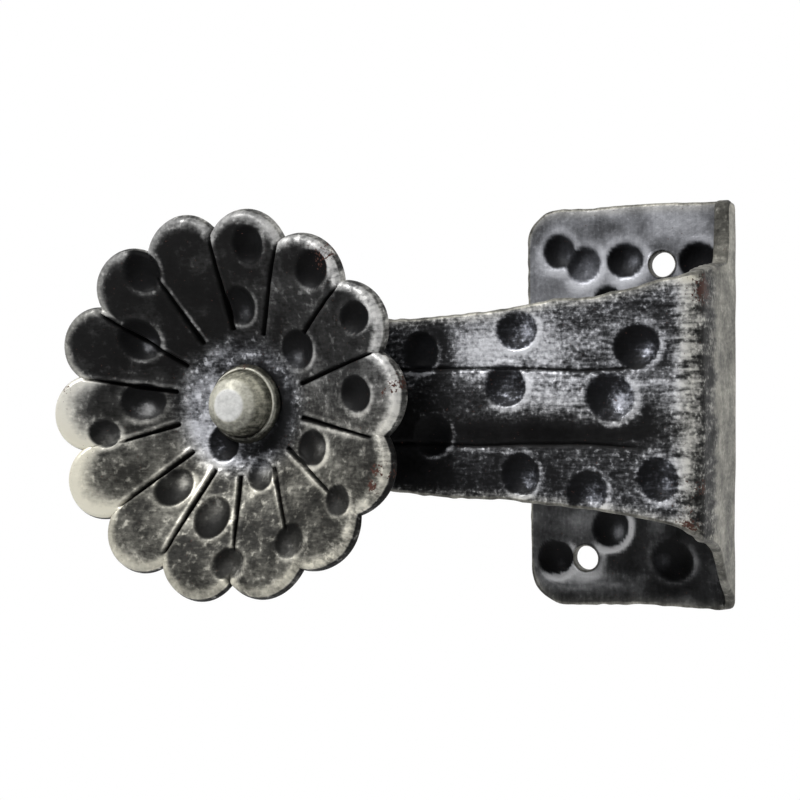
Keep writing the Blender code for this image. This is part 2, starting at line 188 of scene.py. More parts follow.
def bySide(through, source, front, edge, back, frontShare=0.0):
    # each point takes the front's, the edge's or the back's finish at the face point it belongs to
    return np.where(through <= frontShare, front[:, source],
                    np.where(through < 1, edge[:, source], back[:, source]))


# Materials

def startMaterial(name):
    # a new material, its node tree and its shader
    material = bpy.data.materials.new(name)
    material.use_nodes = True
    return material, material.node_tree, material.node_tree.nodes["Principled BSDF"]


def addNode(tree, kind, inputs=None, **settings):
    # a node with its settings; an input is a socket to join or a value
    node = tree.nodes.new(kind)
    for key, value in settings.items():
        setattr(node, key, value)
    for key, value in (inputs or {}).items():
        if isinstance(value, bpy.types.NodeSocket):
            tree.links.new(value, node.inputs[key])
        else:
            node.inputs[key].default_value = value
    return node


def calculate(tree, operation, first, second=0.0, clamp=False):
    return addNode(tree, "ShaderNodeMath", {0: first, 1: second},
                   operation=operation, use_clamp=clamp).outputs[0]


def addAll(tree, first, *others):
    for other in others:
        first = calculate(tree, "ADD", first, other)
    return first


def mapRange(tree, value, span, least=0.0, most=1.0):
    # least at the span's start, most at its end, straight between them and level outside
    inputs = {0: value, 1: span[0], 2: span[1], 3: least, 4: most}
    return addNode(tree, "ShaderNodeMapRange", inputs).outputs[0]


def mixColours(tree, share, first, second, blend="MIX"):
    return addNode(tree, "ShaderNodeMix", {0: share, 6: first, 7: second},
                   data_type="RGBA", blend_type=blend).outputs[2]


def rampOf(tree, value, stops):
    # colours along a value, as (place, colour)
    node = addNode(tree, "ShaderNodeValToRGB", {0: value})
    points = node.color_ramp.elements
    while len(points) < len(stops):
        points.new(0.5)
    for point, (place, colour) in zip(points, stops):
        point.position = place
        point.color = (*colour, 1.0)
    return node.outputs[0]


def attributeOf(tree, name):
    return addNode(tree, "ShaderNodeAttribute", attribute_name=name).outputs["Fac"]


def noiseOf(tree, place, scale, stretch=(1, 1, 1), turn=0.0, detail=3.0, rough=0.55):
    mapping = addNode(tree, "ShaderNodeMapping",
                      {"Vector": place, "Scale": stretch, "Rotation": (0, 0, turn)})
    return addNode(tree, "ShaderNodeTexNoise",
                   {"Vector": mapping.outputs[0], "Scale": scale, "Detail": detail, "Roughness": rough}
                   ).outputs[0]


def forgedIron(name, finish):
    # black patina over iron. Wear is the rub, which holds real wear together with painted light and shade,
    # plus uneven noise (brush strokes, fine grain, mottling), bright flecks and large patches; a ramp takes
    # it from black to bright metal, and the tint from bluish to warm
    material, tree, shader = startMaterial(name)
    place = addNode(tree, "ShaderNodeTexCoord").outputs["Object"]
    strokes = addNode(tree, "ShaderNodeUVMap", uv_map="strokes").outputs[0]
    rubAndPaintedLight = attributeOf(tree, "rubAndPaintedLight")
    uneven = attributeOf(tree, "uneven")

    streak = noiseOf(tree, strokes, 1.0, finish["strokeStretch"], finish["strokeTurn"], 3.0, 0.5)
    grain = noiseOf(tree, place, finish["grainScale"], detail=2.5, rough=0.5)
    mottle = noiseOf(tree, place, finish["mottleScale"], detail=4.0, rough=0.6)
    patch = noiseOf(tree, place, finish["patchScale"], detail=3.0)
    fleck = noiseOf(tree, place, finish["speckScale"], detail=2.0)
    rustNoise = noiseOf(tree, place, finish["rustScale"], detail=3.0)

    def times(first, second):
        return calculate(tree, "MULTIPLY", first, second)

    def swing(value, amount):
        return times(calculate(tree, "SUBTRACT", value, 0.5), amount)

    # the noise is calmer on dark patina, and flecks show only where it is worn already
    ripple = addAll(tree, swing(streak, finish["streakAmount"]), swing(grain, finish["grainAmount"]),
                    swing(mottle, finish["mottleAmount"]))
    ripple = times(times(ripple, uneven), mapRange(tree, rubAndPaintedLight, finish["calmRange"], finish["calmLeast"]))
    worn = times(mapRange(tree, rubAndPaintedLight, finish["wornRange"]), uneven)
    specks = mapRange(tree, fleck, finish["speckRange"], 0.0, finish["speckAmount"])
    ripple = calculate(tree, "ADD", ripple, times(specks, worn))
    wear = calculate(tree, "ADD", rubAndPaintedLight, ripple)
    wear = calculate(tree, "ADD", wear, swing(patch, finish["patchAmount"]), clamp=True)

    colour = rampOf(tree, wear, finish["colours"])
    tint = mixColours(tree, attributeOf(tree, "tint"),
                      (*finish["coolTint"], 1.0), (*finish["warmTint"], 1.0))
    colour = mixColours(tree, 1.0, colour, tint, "MULTIPLY")
    rusty = calculate(tree, "ADD", attributeOf(tree, "rust"), swing(rustNoise, finish["rustSwing"]))
    rustMask = mapRange(tree, rusty, finish["rustRange"])
    colour = mixColours(tree, rustMask, colour, (*finish["rustColour"], 1.0))
    tree.links.new(colour, shader.inputs["Base Color"])

    metal = mapRange(tree, wear, finish["metalRange"], finish["metalLow"], finish["metalHigh"])
    metal = times(metal, calculate(tree, "SUBTRACT", 1.0, rustMask))
    tree.links.new(metal, shader.inputs["Metallic"])
    gloss = mapRange(tree, wear, finish["roughRange"], finish["roughLow"], finish["roughHigh"])
    tree.links.new(gloss, shader.inputs["Roughness"])
    shader.inputs["Specular IOR Level"].default_value = finish["specular"]

    streakRelief, grainRelief, mottleRelief = finish["relief"]
    height = addAll(tree, swing(streak, streakRelief), swing(grain, grainRelief), swing(mottle, mottleRelief))
    relief = addNode(tree, "ShaderNodeBump",
                     {"Strength": finish["bumpStrength"], "Distance": finish["bumpHeight"] * mm,
                      "Height": height})
    tree.links.new(relief.outputs[0], shader.inputs["Normal"])
    return material


# Bracket strap: one sheet folded twice. Its grid runs along the sheet and across it.

strap = {
    "thickness": 2.5,
    "foldRadius": 3.5,
    "armHalfWidth": 14.0,
    "flareLength": 80.0,
    "flarePower": 2.6,
    "foldFullness": 1.8,
    "fullnessLength": 14.0,
    "plateTopCorner": 5.6,
    "plateBottomCorner": 6.2,
    "plateLean": 0.6,  # how far the plate's end leans over at its upper corner
    "plateLeanBelow": 0.3,  # and at its lower one
    "plateDroop": 0.5,
    "droopLength": 11.0,
    "armCorner": 8.0,
    "edgeRound": 0.6,
    "thinned": 0.9,  # hammered off the sheet at the wall's lower edge
    "stubDepth": 9.2,
    "stubDrop": 0.6,
    "stubCorner": 2.2,
    "stubSlant": 0.6,
    "notchAtStub": 23.0,  # height of the cut-away edge where it leaves the stub
    "notchCorner": 1.2,
    "screwHoles": ((5.6, 23.7), (-8.0, -26.5)),
    "screwHoleRadius": 2.1,
    "screwHoleSpans": (5, 4),  # columns and rows of the grid from the hole's centre to its edge
    "rivetHoleRadius": 2.8,
    "rivetHoleSpans": (4, 11),
    "punchDepth": 1.2,
    "dentSize": 9.0,
    "dentDepth": 0.15,
    "lineHeights": (5.6, -6.3),
    "lineWidth": 0.42,
    "lineDepth": 0.45,
    "lineFromWall": 7.0,
    "bandCrown": 0.75,
    "crownEnds": (-46.0, -36.0),
    "armLevel": 0.48,  # rub of the even faces, before marks, blobs and noise
    "wallLevel": 0.47,
    "plateLevel": 0.40,
    "edgeLevel": 0.58,
    # haloLight: how bright the rubbed rings round the arm's marks are, with their painted highlight on the
    # lower right
    "haloLight": 0.38,  # beside the arm's marks
    "grooveDark": 0.45,
    # foldLight: rub of the fold's crest, rubbed metal with a painted highlight
    "foldLight": 0.27,
    "rowCount": 118,
    "plateGap": 0.43,  # spacing of the grid along the sheet
    "stubGap": 0.40,
    "wallGap": 0.50,
    "armGap": 0.30,
    "hiddenGap": 0.66,
    "shownArm": 44.0,  # length of the arm before the rosette hides it
    # how far the hammered edges stand out past the even outline, by x on the arm, which runs on round the
    # fold (14.5 to 20) and down the wall (20 to 43)
    "upperEdge": (
        (-34.0, 0.0), (-29.0, -0.25), (-23.0, 0.25), (-18.0, 0.55), (-14.0, 0.7), (-9.5, 1.0), (-4.0, 1.65),
        (1.3, 0.55), (5.7, 0.95), (8.5, 0.75), (11.3, 1.0), (14.0, 0.7), (17.0, 0.2), (20.0, -0.35),
    ),
    "lowerEdge": (
        (-34.0, 0.0), (-29.0, 0.55), (-23.0, 1.0), (-18.0, 0.85), (-14.0, 0.45), (-9.0, 0.85), (-4.0, 0.65),
        (1.3, 0.3), (5.7, 0.15), (8.5, -0.2), (11.3, -0.3), (14.0, -0.4), (17.0, -0.5), (20.0, -0.3),
        (24.5, -1.2), (29.0, -2.2), (31.5, -2.5), (33.3, -2.3), (35.0, -1.9), (37.0, -1.5), (39.5, -1.5),
        (43.0, -1.1), (46.5, 0.0),
    ),
    # (x, z, size, rub inside, painted glint and, where it isn't at the lower right, its bearing); the first
    # two arm marks lie in the rosette's painted shadow and are dark inside
    "armMarks": (
        (-27.4, 8.4, 3.2, 0.20, 0.0), (-25.0, -4.9, 3.2, 0.16, 0.0), (-11.0, 11.7, 3.3, 0.36, 0.22, 100.0),
        (-12.7, 3.0, 3.4, 0.38, 0.12), (-10.4, -10.9, 3.2, 0.28, 0.30), (0.4, -13.5, 3.3, 0.30, 0.30),
        (8.2, 9.0, 3.5, 0.22, 0.55, 125.0), (4.2, 1.2, 3.8, 0.34, 0.48, 115.0),
        (11.6, -11.2, 3.3, 0.30, 0.18), (-45.0, 10.0, 3.2, 0.32, 0.0), (-66.0, -7.0, 3.2, 0.32, 0.0),
        (-64.5, 7.5, 3.2, 0.32, 0.0), (-48.0, -9.5, 3.2, 0.32, 0.0),
    ),
    "plateMarks": (
        (-12.2, 26.4, 2.9, 0.30, 0.10), (-7.9, 24.0, 3.1, 0.43, 0.06), (-0.7, 24.5, 3.1, 0.30, 0.26, 95.0),
        (11.9, 23.8, 3.4, 0.20, 0.06), (-3.6, 17.3, 2.8, 0.26, 0.06), (-3.5, -21.1, 3.3, 0.24, 0.40, 125.0),
        (-13.4, -26.6, 3.1, 0.22, 0.22, 150.0), (7.2, -26.2, 3.5, 0.22, 0.22, 265.0),
        (-11.5, 3.0, 3.1, 0.34, 0.05), (2.0, -4.0, 3.1, 0.34, 0.05), (9.0, 8.0, 3.1, 0.34, 0.05),
    ),
    # worn and dark patches of the arm's front, as (x, z, half length, half height, change of rub); some dark
    # ones are painted
    # shade: the rosette's shadow over the arm's left end and the lower side of the crowned band
    "armRubAndPaintedShade": (
        (-17.0, 8.6, 4.8, 3.8, 0.50), (-24.2, 8.5, 2.4, 4.5, -0.34), (-6.0, 8.8, 4.5, 4.6, 0.20),
        (3.5, 9.0, 6.0, 5.0, 0.06), (-10.0, 3.7, 5.0, 1.4, 0.12), (-4.0, 1.2, 5.5, 2.2, 0.24),
        (-17.0, 1.0, 5.0, 2.5, -0.14), (6.5, 0.5, 1.8, 2.5, 0.14), (10.0, 3.4, 5.0, 0.7, 0.22),
        (9.5, -1.5, 3.0, 3.0, -0.16), (-8.0, -4.4, 19.0, 2.0, -0.46), (-28.0, -8.0, 7.0, 7.5, -0.32),
        (-29.0, 1.0, 6.0, 3.0, -0.14), (-27.0, 11.0, 4.0, 3.0, -0.14), (-15.0, -7.2, 8.0, 0.45, 0.26),
        (-6.0, -11.5, 18.0, 3.5, -0.17), (7.0, 14.6, 2.4, 1.6, -0.10), (1.5, 13.0, 1.8, 1.2, -0.08),
        (9.0, 5.8, 3.4, 0.6, -0.20), (12.5, 7.5, 1.0, 2.5, -0.10), (3.0, 6.6, 2.0, 0.6, -0.08),
        (0.5, 10.2, 2.0, 1.4, 0.08), (10.5, 13.0, 1.6, 1.2, 0.07),
    ),
    # (distance from the arm's start, z, half length, half height, amount)
    "foldRust": (
        (-5.4, 17.6, 3.6, 2.4, 0.80), (-4.6, -12.5, 1.4, 1.2, 0.75), (-1.6, -18.3, 2.6, 1.0, 0.58),
    ),
}


def placesAlong():
    # where the plate, the wall and the arm begin and end along the sheet's outer face
    radius = strap["foldRadius"]
    plate = wallX - radius - plateLeftX
    bend = radius * halfPi
    wall = -armFrontY - 2 * radius
    armStart = plate + 2 * bend + wall
    return {"plateEnd": plate, "wallStart": plate + bend, "wallEnd": plate + bend + wall,
            "armStart": armStart, "end": armStart + wallX - radius - armEndX}


strapAt = placesAlong()


def strapPath(along):
    # straight plate, quarter turn, straight wall, quarter turn, straight arm, by length along the outer
    # face: x and y, the angle turned so far, and the reach forward of the plate and on along the arm
    radius = strap["foldRadius"]
    wall = strapAt["wallEnd"] - strapAt["wallStart"]
    onPlate = np.minimum(along, strapAt["plateEnd"])
    firstTurn = np.clip((along - strapAt["plateEnd"]) / radius, 0, halfPi)
    onWall = np.clip(along - strapAt["wallStart"], 0, wall)
    secondTurn = np.clip((along - strapAt["wallEnd"]) / radius, 0, halfPi)
    onArm = np.maximum(along - strapAt["armStart"], 0)
    x = plateLeftX + onPlate + radius * np.sin(firstTurn) - radius * (1 - np.cos(secondTurn)) - onArm
    y = -radius * (1 - np.cos(firstTurn)) - onWall - radius * np.sin(secondTurn)
    reach = radius * (1 - np.cos(firstTurn)) + onWall + 2 * radius * secondTurn / halfPi + onArm
    return x, y, firstTurn + secondTurn, reach


def hammeredEdge(place, edge):
    # the table of this name read at five places close by and averaged, so the edge has no corners
    table = np.array(strap[edge]).T
    return sum(np.interp(place + step, *table) for step in (-2.0, -1.0, 0.0, 1.0, 2.0)) / 5


def halfWidth(reach):
    # half the strap's width falls off by a power law from the plate to the arm, fuller just past the fold
    left = np.clip(1 - reach / strap["flareLength"], 0, 1)
    flare = (plateHalfHeight - strap["armHalfWidth"]) * left ** strap["flarePower"]
    fullness = strap["foldFullness"] * np.sin(pi * np.clip(reach / strap["fullnessLength"], 0, 1))
    return strap["armHalfWidth"] + flare + fullness


def notchOutline():
    # (along, height) of the wall's cut-away corner: round corner, steep side, round inner corner
    lip = strap["edgeRound"]
    turn = np.linspace(0, halfPi, 6)
    outer = strap["stubCorner"] - lip
    inner = strap["notchCorner"] + lip
    stubEnd = strapAt["wallStart"] + strap["stubDepth"] - strap["foldRadius"] - lip
    top = plateHalfHeight - strap["stubDrop"] - lip
    low = strap["notchAtStub"] - lip
    along = stubEnd - outer + outer * np.sin(turn)
    height = top - outer * (1 - np.cos(turn))
    side = np.linspace(0, 1, 9)[1:-1]
    along = np.append(along, stubEnd + strap["stubSlant"] * side)
    height = np.append(height, top - outer + (low + inner - top + outer) * side)
    along = np.append(along, stubEnd + strap["stubSlant"] + inner * (1 - np.cos(turn)))
    height = np.append(height, low + inner * (1 - np.sin(turn)))
    return along, height


def strapColumns():
    # places along the sheet, closest at its round corners, at the notch and where the arm shows
    lip = strap["edgeRound"]
    plateCorner = strap["plateBottomCorner"] - lip
    armCorner = strap["armCorner"] - lip
    plateTurn = np.linspace(0, halfPi, 18)
    armTurn = np.linspace(0, halfPi, 9)[::-1]
    notch, _ = notchOutline()
    shown = strapAt["armStart"] + strap["shownArm"]
    return np.concatenate([
        lip + plateCorner * (1 - np.cos(plateTurn)),
        np.arange(lip + plateCorner, strapAt["plateEnd"], strap["plateGap"])[1:],
        np.arange(strapAt["plateEnd"], notch[0] - 0.2, strap["stubGap"]),
        notch,
        np.arange(notch[-1] + 0.4, strapAt["wallEnd"] - 0.2, strap["wallGap"]),
        np.linspace(strapAt["wallEnd"], strapAt["armStart"], 15)[:-1],
        np.arange(strapAt["armStart"], shown, strap["armGap"]),
        np.arange(shown + 0.2, strapAt["end"] - lip - armCorner - 0.2, strap["hiddenGap"]),
        strapAt["end"] - lip - armCorner * (1 - np.cos(armTurn)),
    ])


def cornerCut(along, start, size):
    # how far a round corner of this size takes an edge in, where the sheet's end is at start
    inset = np.clip(size - (along - start), 0, size)
    return size - np.sqrt(size ** 2 - inset ** 2)


def strapOutline(along):
    # lower and upper edge of the sheet's flat grid, inside the real outline by the edge's rounding
    lip = strap["edgeRound"]
    reach = strapPath(along)[3]
    slope = (halfWidth(reach + 0.5) - halfWidth(reach - 0.5)) * ease(reach, 0.2, 1.5)
    edge = halfWidth(reach) - lip * np.sqrt(1 + slope ** 2)
    edge = edge - cornerCut(strapAt["end"] - lip - along, 0, strap["armCorner"] - lip)

    # the plate's free end hangs a little; at the fold its lower corner stands out and its upper one is sunk
    droop = strap["plateDroop"] * bump(along, strap["droopLength"])
    fromCorner = along - strapAt["plateEnd"] - 3.6
    onSheet = wallX - strap["foldRadius"] - (along - strapAt["armStart"])
    lower = (-edge + cornerCut(along, lip, strap["plateBottomCorner"] - lip) - droop
             + 0.13 * noise(along / 5.0, 0.0, 0.0, 11) + 0.07 * noise(along / 1.7, 0.0, 0.0, 12)
             - 0.4 * bump(along - 8.0, 5.0) - 0.6 * bump(fromCorner, 2.6)
             - 0.15 * bump(fromCorner + 6.0, 5.0) - hammeredEdge(onSheet, "lowerEdge"))
    notchAlong, notchHeight = notchOutline()
    onStub = along < notchAlong[0]
    upper = np.where(onStub, plateHalfHeight - lip - strap["stubDrop"] * ease(reach, 0.0, 6.0), edge)
    upper = (upper - cornerCut(along, lip, strap["plateTopCorner"] - lip) - droop
             - 1.7 * bump(fromCorner, 1.5) * onStub
             + hammeredEdge(onSheet, "upperEdge") * (along > strapAt["wallEnd"]))

    # on the wall the upper edge is the notch, then a straight slope to the arm's edge
    wallEnd = strapAt["wallEnd"]
    fromNotch = np.maximum(notchAlong[0] - along, along - wallEnd)
    armHeight = np.interp(wallEnd, along, edge) + hammeredEdge(strap["upperEdge"][-1][0], "upperEdge")
    notchHeight = np.interp(along, np.append(notchAlong, wallEnd), np.append(notchHeight, armHeight))
    upper = np.where(fromNotch <= 0, notchHeight, upper)
    wave = 0.14 * noise(along / 6.0, 3.0, 0.0, 13) + 0.06 * noise(along / 1.8, 3.0, 0.0, 14)
    return lower, upper + wave * ease(fromNotch, 0.0, 3.0)


def openHole(flat, centre, radius, spanAlong, spanAcross):
    # the grid lines round a hole are drawn to it: the ring of cells at the two spans becomes the circle, and
    # further rings ease back to the grid
    column = int(np.argmin(np.abs(flat[:, 0, 0] - centre[0])))
    row = int(np.argmin(np.abs(flat[column, :, 1] - centre[1])))
    reach = 2  # rings that give way, as multiples of the spans
    columns = np.arange(column - reach * spanAlong, column + reach * spanAlong + 1)
    rows = np.arange(row - reach * spanAcross, row + reach * spanAcross + 1)
    i, j = np.meshgrid((columns - column) / spanAlong, (rows - row) / spanAcross, indexing="ij")
    ring = np.maximum(np.abs(i), np.abs(j))
    safe = np.maximum(ring, 1e-9)
    onSide = np.abs(i) >= np.abs(j)
    angle = np.where(onSide, pi / 4 * j / safe * np.sign(i), halfPi - pi / 4 * i / safe * np.sign(j))
    angle = np.where(onSide, np.where(i < 0, pi + angle, angle), np.where(j < 0, pi + angle, angle))
    grown = radius * (1 + 0.55 * (ring - 1))
    circle = np.stack([centre[0] + grown * np.cos(angle), centre[1] + grown * np.sin(angle)], axis=-1)
    block = flat[columns[0]:columns[-1] + 1, rows[0]:rows[-1] + 1]
    share = ease(ring, 1.0, float(reach))[..., None]
    block[:] = circle * (1 - share) + block * share
    return column - spanAlong, column + spanAlong, row - spanAcross, row + spanAcross


def rimOf(block, index):
    # point numbers round a rectangle of the grid, in order
    first, last, low, high = block
    return np.concatenate([
        index[first:last, low], index[last, low:high],
        index[last:first:-1, high], index[first, high:low:-1]])


def punched(right, up, marks, haloWidth, haloAround=0.2):
    # round punch marks, each a ball's cap with a fine raised lip. Returns sink and lip for the form, and
    # inside, rub and halo for the finish. The halo and the glint are toward the lower right, unless a mark
    # has a sixth value: its glint's bearing in degrees, clockwise from the top
    sink, lip, inside, rubAndPaintedLight, halo = (np.zeros_like(right) for _ in range(5))
    for number, (markRight, markUp, size, darkness, glint, *given) in enumerate(marks):
        bearing = radians(given[0] if given else 135.0)
        turn = 2.4 * number
        awayRight = right - markRight
        awayUp = up - markUp
        squashed = np.hypot((awayRight * cos(turn) + awayUp * sin(turn)) * 1.05,
                            (awayUp * cos(turn) - awayRight * sin(turn)) * 0.96) / size
        toward = (0.7 * awayRight - 0.7 * awayUp) / size
        within = 1 - ease(squashed, 0.86, 1.05)
        sink = np.maximum(sink, size / 3.2 * np.clip(1 - squashed ** 2, 0, 1) ** 0.85)
        lip = np.maximum(lip, bump(squashed - 1.08, 0.14))
        share = haloAround + (1 - haloAround) * ease(toward, -0.3, 0.8)
        halo = np.maximum(halo, bump(squashed - 0.98 - haloWidth, haloWidth) * share)
        lit = (sin(bearing) * awayRight + cos(bearing) * awayUp) / size
        toGlint = np.hypot(awayRight / size - 0.42 * sin(bearing), awayUp / size - 0.42 * cos(bearing))
        shade = (darkness + glint * bump(toGlint, 0.42) + 0.04 * ease(lit, 0.0, 0.8)
                 - 0.10 * ease(-lit, 0.0, 0.7))
        rubAndPaintedLight = np.where(within >= inside, shade, rubAndPaintedLight)
        inside = np.maximum(inside, within)
    return sink, lip * (1 - inside), inside, rubAndPaintedLight, halo * (1 - inside)


def blobs(x, z, patches):
    # soft-edged ellipses added up, each (x, z, half length, half height, amount)
    total = np.zeros_like(x)
    for blobX, blobZ, length, height, amount in patches:
        total += amount * bump(np.hypot((x - blobX) / length, (z - blobZ) / height), 1.0)
    return total


def strapRise(flatPlace, base):
    # how far the outer and the inner face stand out: shallow dents, punch marks, and on the arm two chiselled
    # lines with lips and between them a band crowned as one minus the square of the way to its lines
    armX, plateX, z, onArm, onPlate, path = flatPlace
    armMark = punched(armX, z, strap["armMarks"], 0.15)
    above = ease(z, 0.0, 10.0)
    plateMark = punched(plateX, z, strap["plateMarks"], 0.17 + 0.08 * above, 0.04 + 0.26 * above)
    upLine, downLine = strap["lineHeights"]
    swayUp = upLine + 0.35 * noise(armX / 9.0, 0.0, 0.0, 31)
    swayDown = downLine + 0.3 * noise(armX / 9.0, 5.0, 0.0, 32)
    toLine = np.minimum(np.abs(z - swayUp), np.abs(z - swayDown))
    lineEnd = wallX - strap["lineFromWall"]
    lineHere = (1 - ease(armX, lineEnd - 5, lineEnd)) * onArm
    groove = np.clip(1 - toLine / strap["lineWidth"], 0, 1) * lineHere
    grooveLip = bump(toLine - strap["lineWidth"] - 0.3, 0.3) * lineHere
    band = np.clip(1 - ((z - (swayUp + swayDown) / 2) / ((swayUp - swayDown) / 2)) ** 2, 0, 1)
    crown = band * strap["bandCrown"] * ease(armX, *strap["crownEnds"]) * lineHere

    # the arm is level round the rivet, and the plate's back is nearly so
    fromRivet = ease(np.hypot(armX - rivetX, z), 9.0, 16.0)
    onBack = 1 - ease(path, strapAt["plateEnd"] - 2, strapAt["plateEnd"] + 2)
    depth = strap["punchDepth"]
    waves = hammered(base, strap["dentSize"], 41)
    outerRise = (strap["dentDepth"] * waves * fromRivet + 0.04 * hammered(base, 2.2, 43) * onArm + crown
                 + (0.07 * armMark[1] - depth * armMark[0]) * onArm
                 - strap["lineDepth"] * groove + 0.05 * grooveLip) * (1 - 0.75 * onBack)
    innerRise = (0.14 * hammered(base, 10.0, 51) + 0.03 * hammered(base, 2.2, 53)
                 + (0.05 * plateMark[1] - depth * plateMark[0]) * onPlate
                 + 0.22 * depth * armMark[0] * onArm)
    return outerRise, innerRise, groove, waves, armMark, plateMark


def strapFinish(flatPlace, base, groove, waves, armMark, plateMark):
    # rub, tint, unevenness and rust of the outer face and of the inner face, each as rows of one array
    armX, plateX, z, _, onPlate, path = flatPlace
    fromArm = path - strapAt["armStart"]
    onFront = ease(fromArm, -2.5, 0.5)

    # round the fold: a bright line, rubbed metal with a painted highlight on the crest, then a dark blotched
    # band, painted shade where the fold turns from the light, that ends in a feathered line, then worn wall
    crestRubAndHighlight = bump(fromArm + 1.4, 1.8)
    feather = 2.5 * noise(z / 1.1, 0.0, 0.0, 78)
    wornWall = 1 - ease(fromArm + feather, -15.0, -8.5)
    blotched = 0.75 + 0.35 * noise(fromArm / 5.0, z / 9.0, 0.0, 77)
    foldShadeAndBlotches = (1 - wornWall) * (1 - ease(fromArm, -5.5, -1.0)) * blotched
    cracks = hammered(asColumns(fromArm / 4.5, z / 0.6, 0 * z), 1.0, 75)
    bands = hammered(asColumns(fromArm / 1.2, z / 5.0, 0 * z), 1.0, 79)

    _, _, inside, markRub, halo = armMark
    field = (strap["armLevel"] + blobs(armX, z, strap["armRubAndPaintedShade"]) + strap["haloLight"] * halo
             - strap["grooveDark"] * groove)
    field = field * (1 - inside) + markRub * inside + 0.06 * cracks * (1 - ease(fromArm, 2.0, 12.0))
    outerRubAndPaintedLight = (field * onFront + strap["wallLevel"] * (1 - onFront) + strap["foldLight"] * crestRubAndHighlight
                - 0.10 * foldShadeAndBlotches + 0.17 * wornWall - 0.12 * onPlate + 0.06 * waves
                + cracks * (0.24 * crestRubAndHighlight + 0.24 * foldShadeAndBlotches + 0.03 * wornWall)
                + bands * (0.19 * crestRubAndHighlight + 0.07 * foldShadeAndBlotches))
    tint = ((-0.50 * (1 - inside) - 1.0 * inside + 0.25 * bump(z + 3.5, 4.0)) * onFront
            + 0.35 * crestRubAndHighlight + (0.9 - 0.6 * onPlate) * wornWall + 0.5 * foldShadeAndBlotches)
    uneven = (0.95 - 0.20 * inside * onFront + 0.05 * crestRubAndHighlight - 0.10 * foldShadeAndBlotches - 0.70 * wornWall
              + 0.35 * onPlate)
    rust = blobs(fromArm, z, strap["foldRust"]) + 0.25 * crestRubAndHighlight * bump(z + 17.0, 6.0)
    outer = np.stack([outerRubAndPaintedLight, tint, uneven, rust])

    # the plate's front: lighter above than below, where it holds painted shadow of the arm, darkest at its
    # right, where the rings round the marks are dimmer too; a painted highlight on the lower hole's lower
    # right rim, and scuffs along its lower edge
    _, _, inside, markRub, halo = plateMark
    above = ease(z, 4.0, 18.0)
    toRight = ease(plateX, -6.0, 8.0)
    haloRub = 0.34 * above + (0.86 - 0.62 * ease(plateX, -1.0, 6.0)) * (1 - above)
    holeX, holeZ = strap["screwHoles"][1]
    besideHole = bump(np.hypot(plateX - holeX, z - holeZ) - 3.1, 0.8)
    holeRimHighlight = besideHole * ease(plateX - holeX - z + holeZ, -2.5, 1.5)
    scuffed = bump(z + 30.6, 1.6) * (1 - toRight) * (1 + noise(plateX / 3.0, z / 0.6, 0.0, 80))
    raised = (0.08 + 0.14 * above + (-0.01 - 0.09 * toRight) * (1 - above) + haloRub * halo
              + 0.12 * scuffed + 0.34 * holeRimHighlight)
    field = strap["plateLevel"] + raised * onPlate + 0.12 * hammered(base, 5.0, 71)
    within = inside * onPlate
    inner = np.stack([field * (1 - within) + markRub * within, -0.25 - 0.35 * above - 0.3 * within,
                      0.75 - 0.58 * onPlate, 0 * z])
    return outer, inner


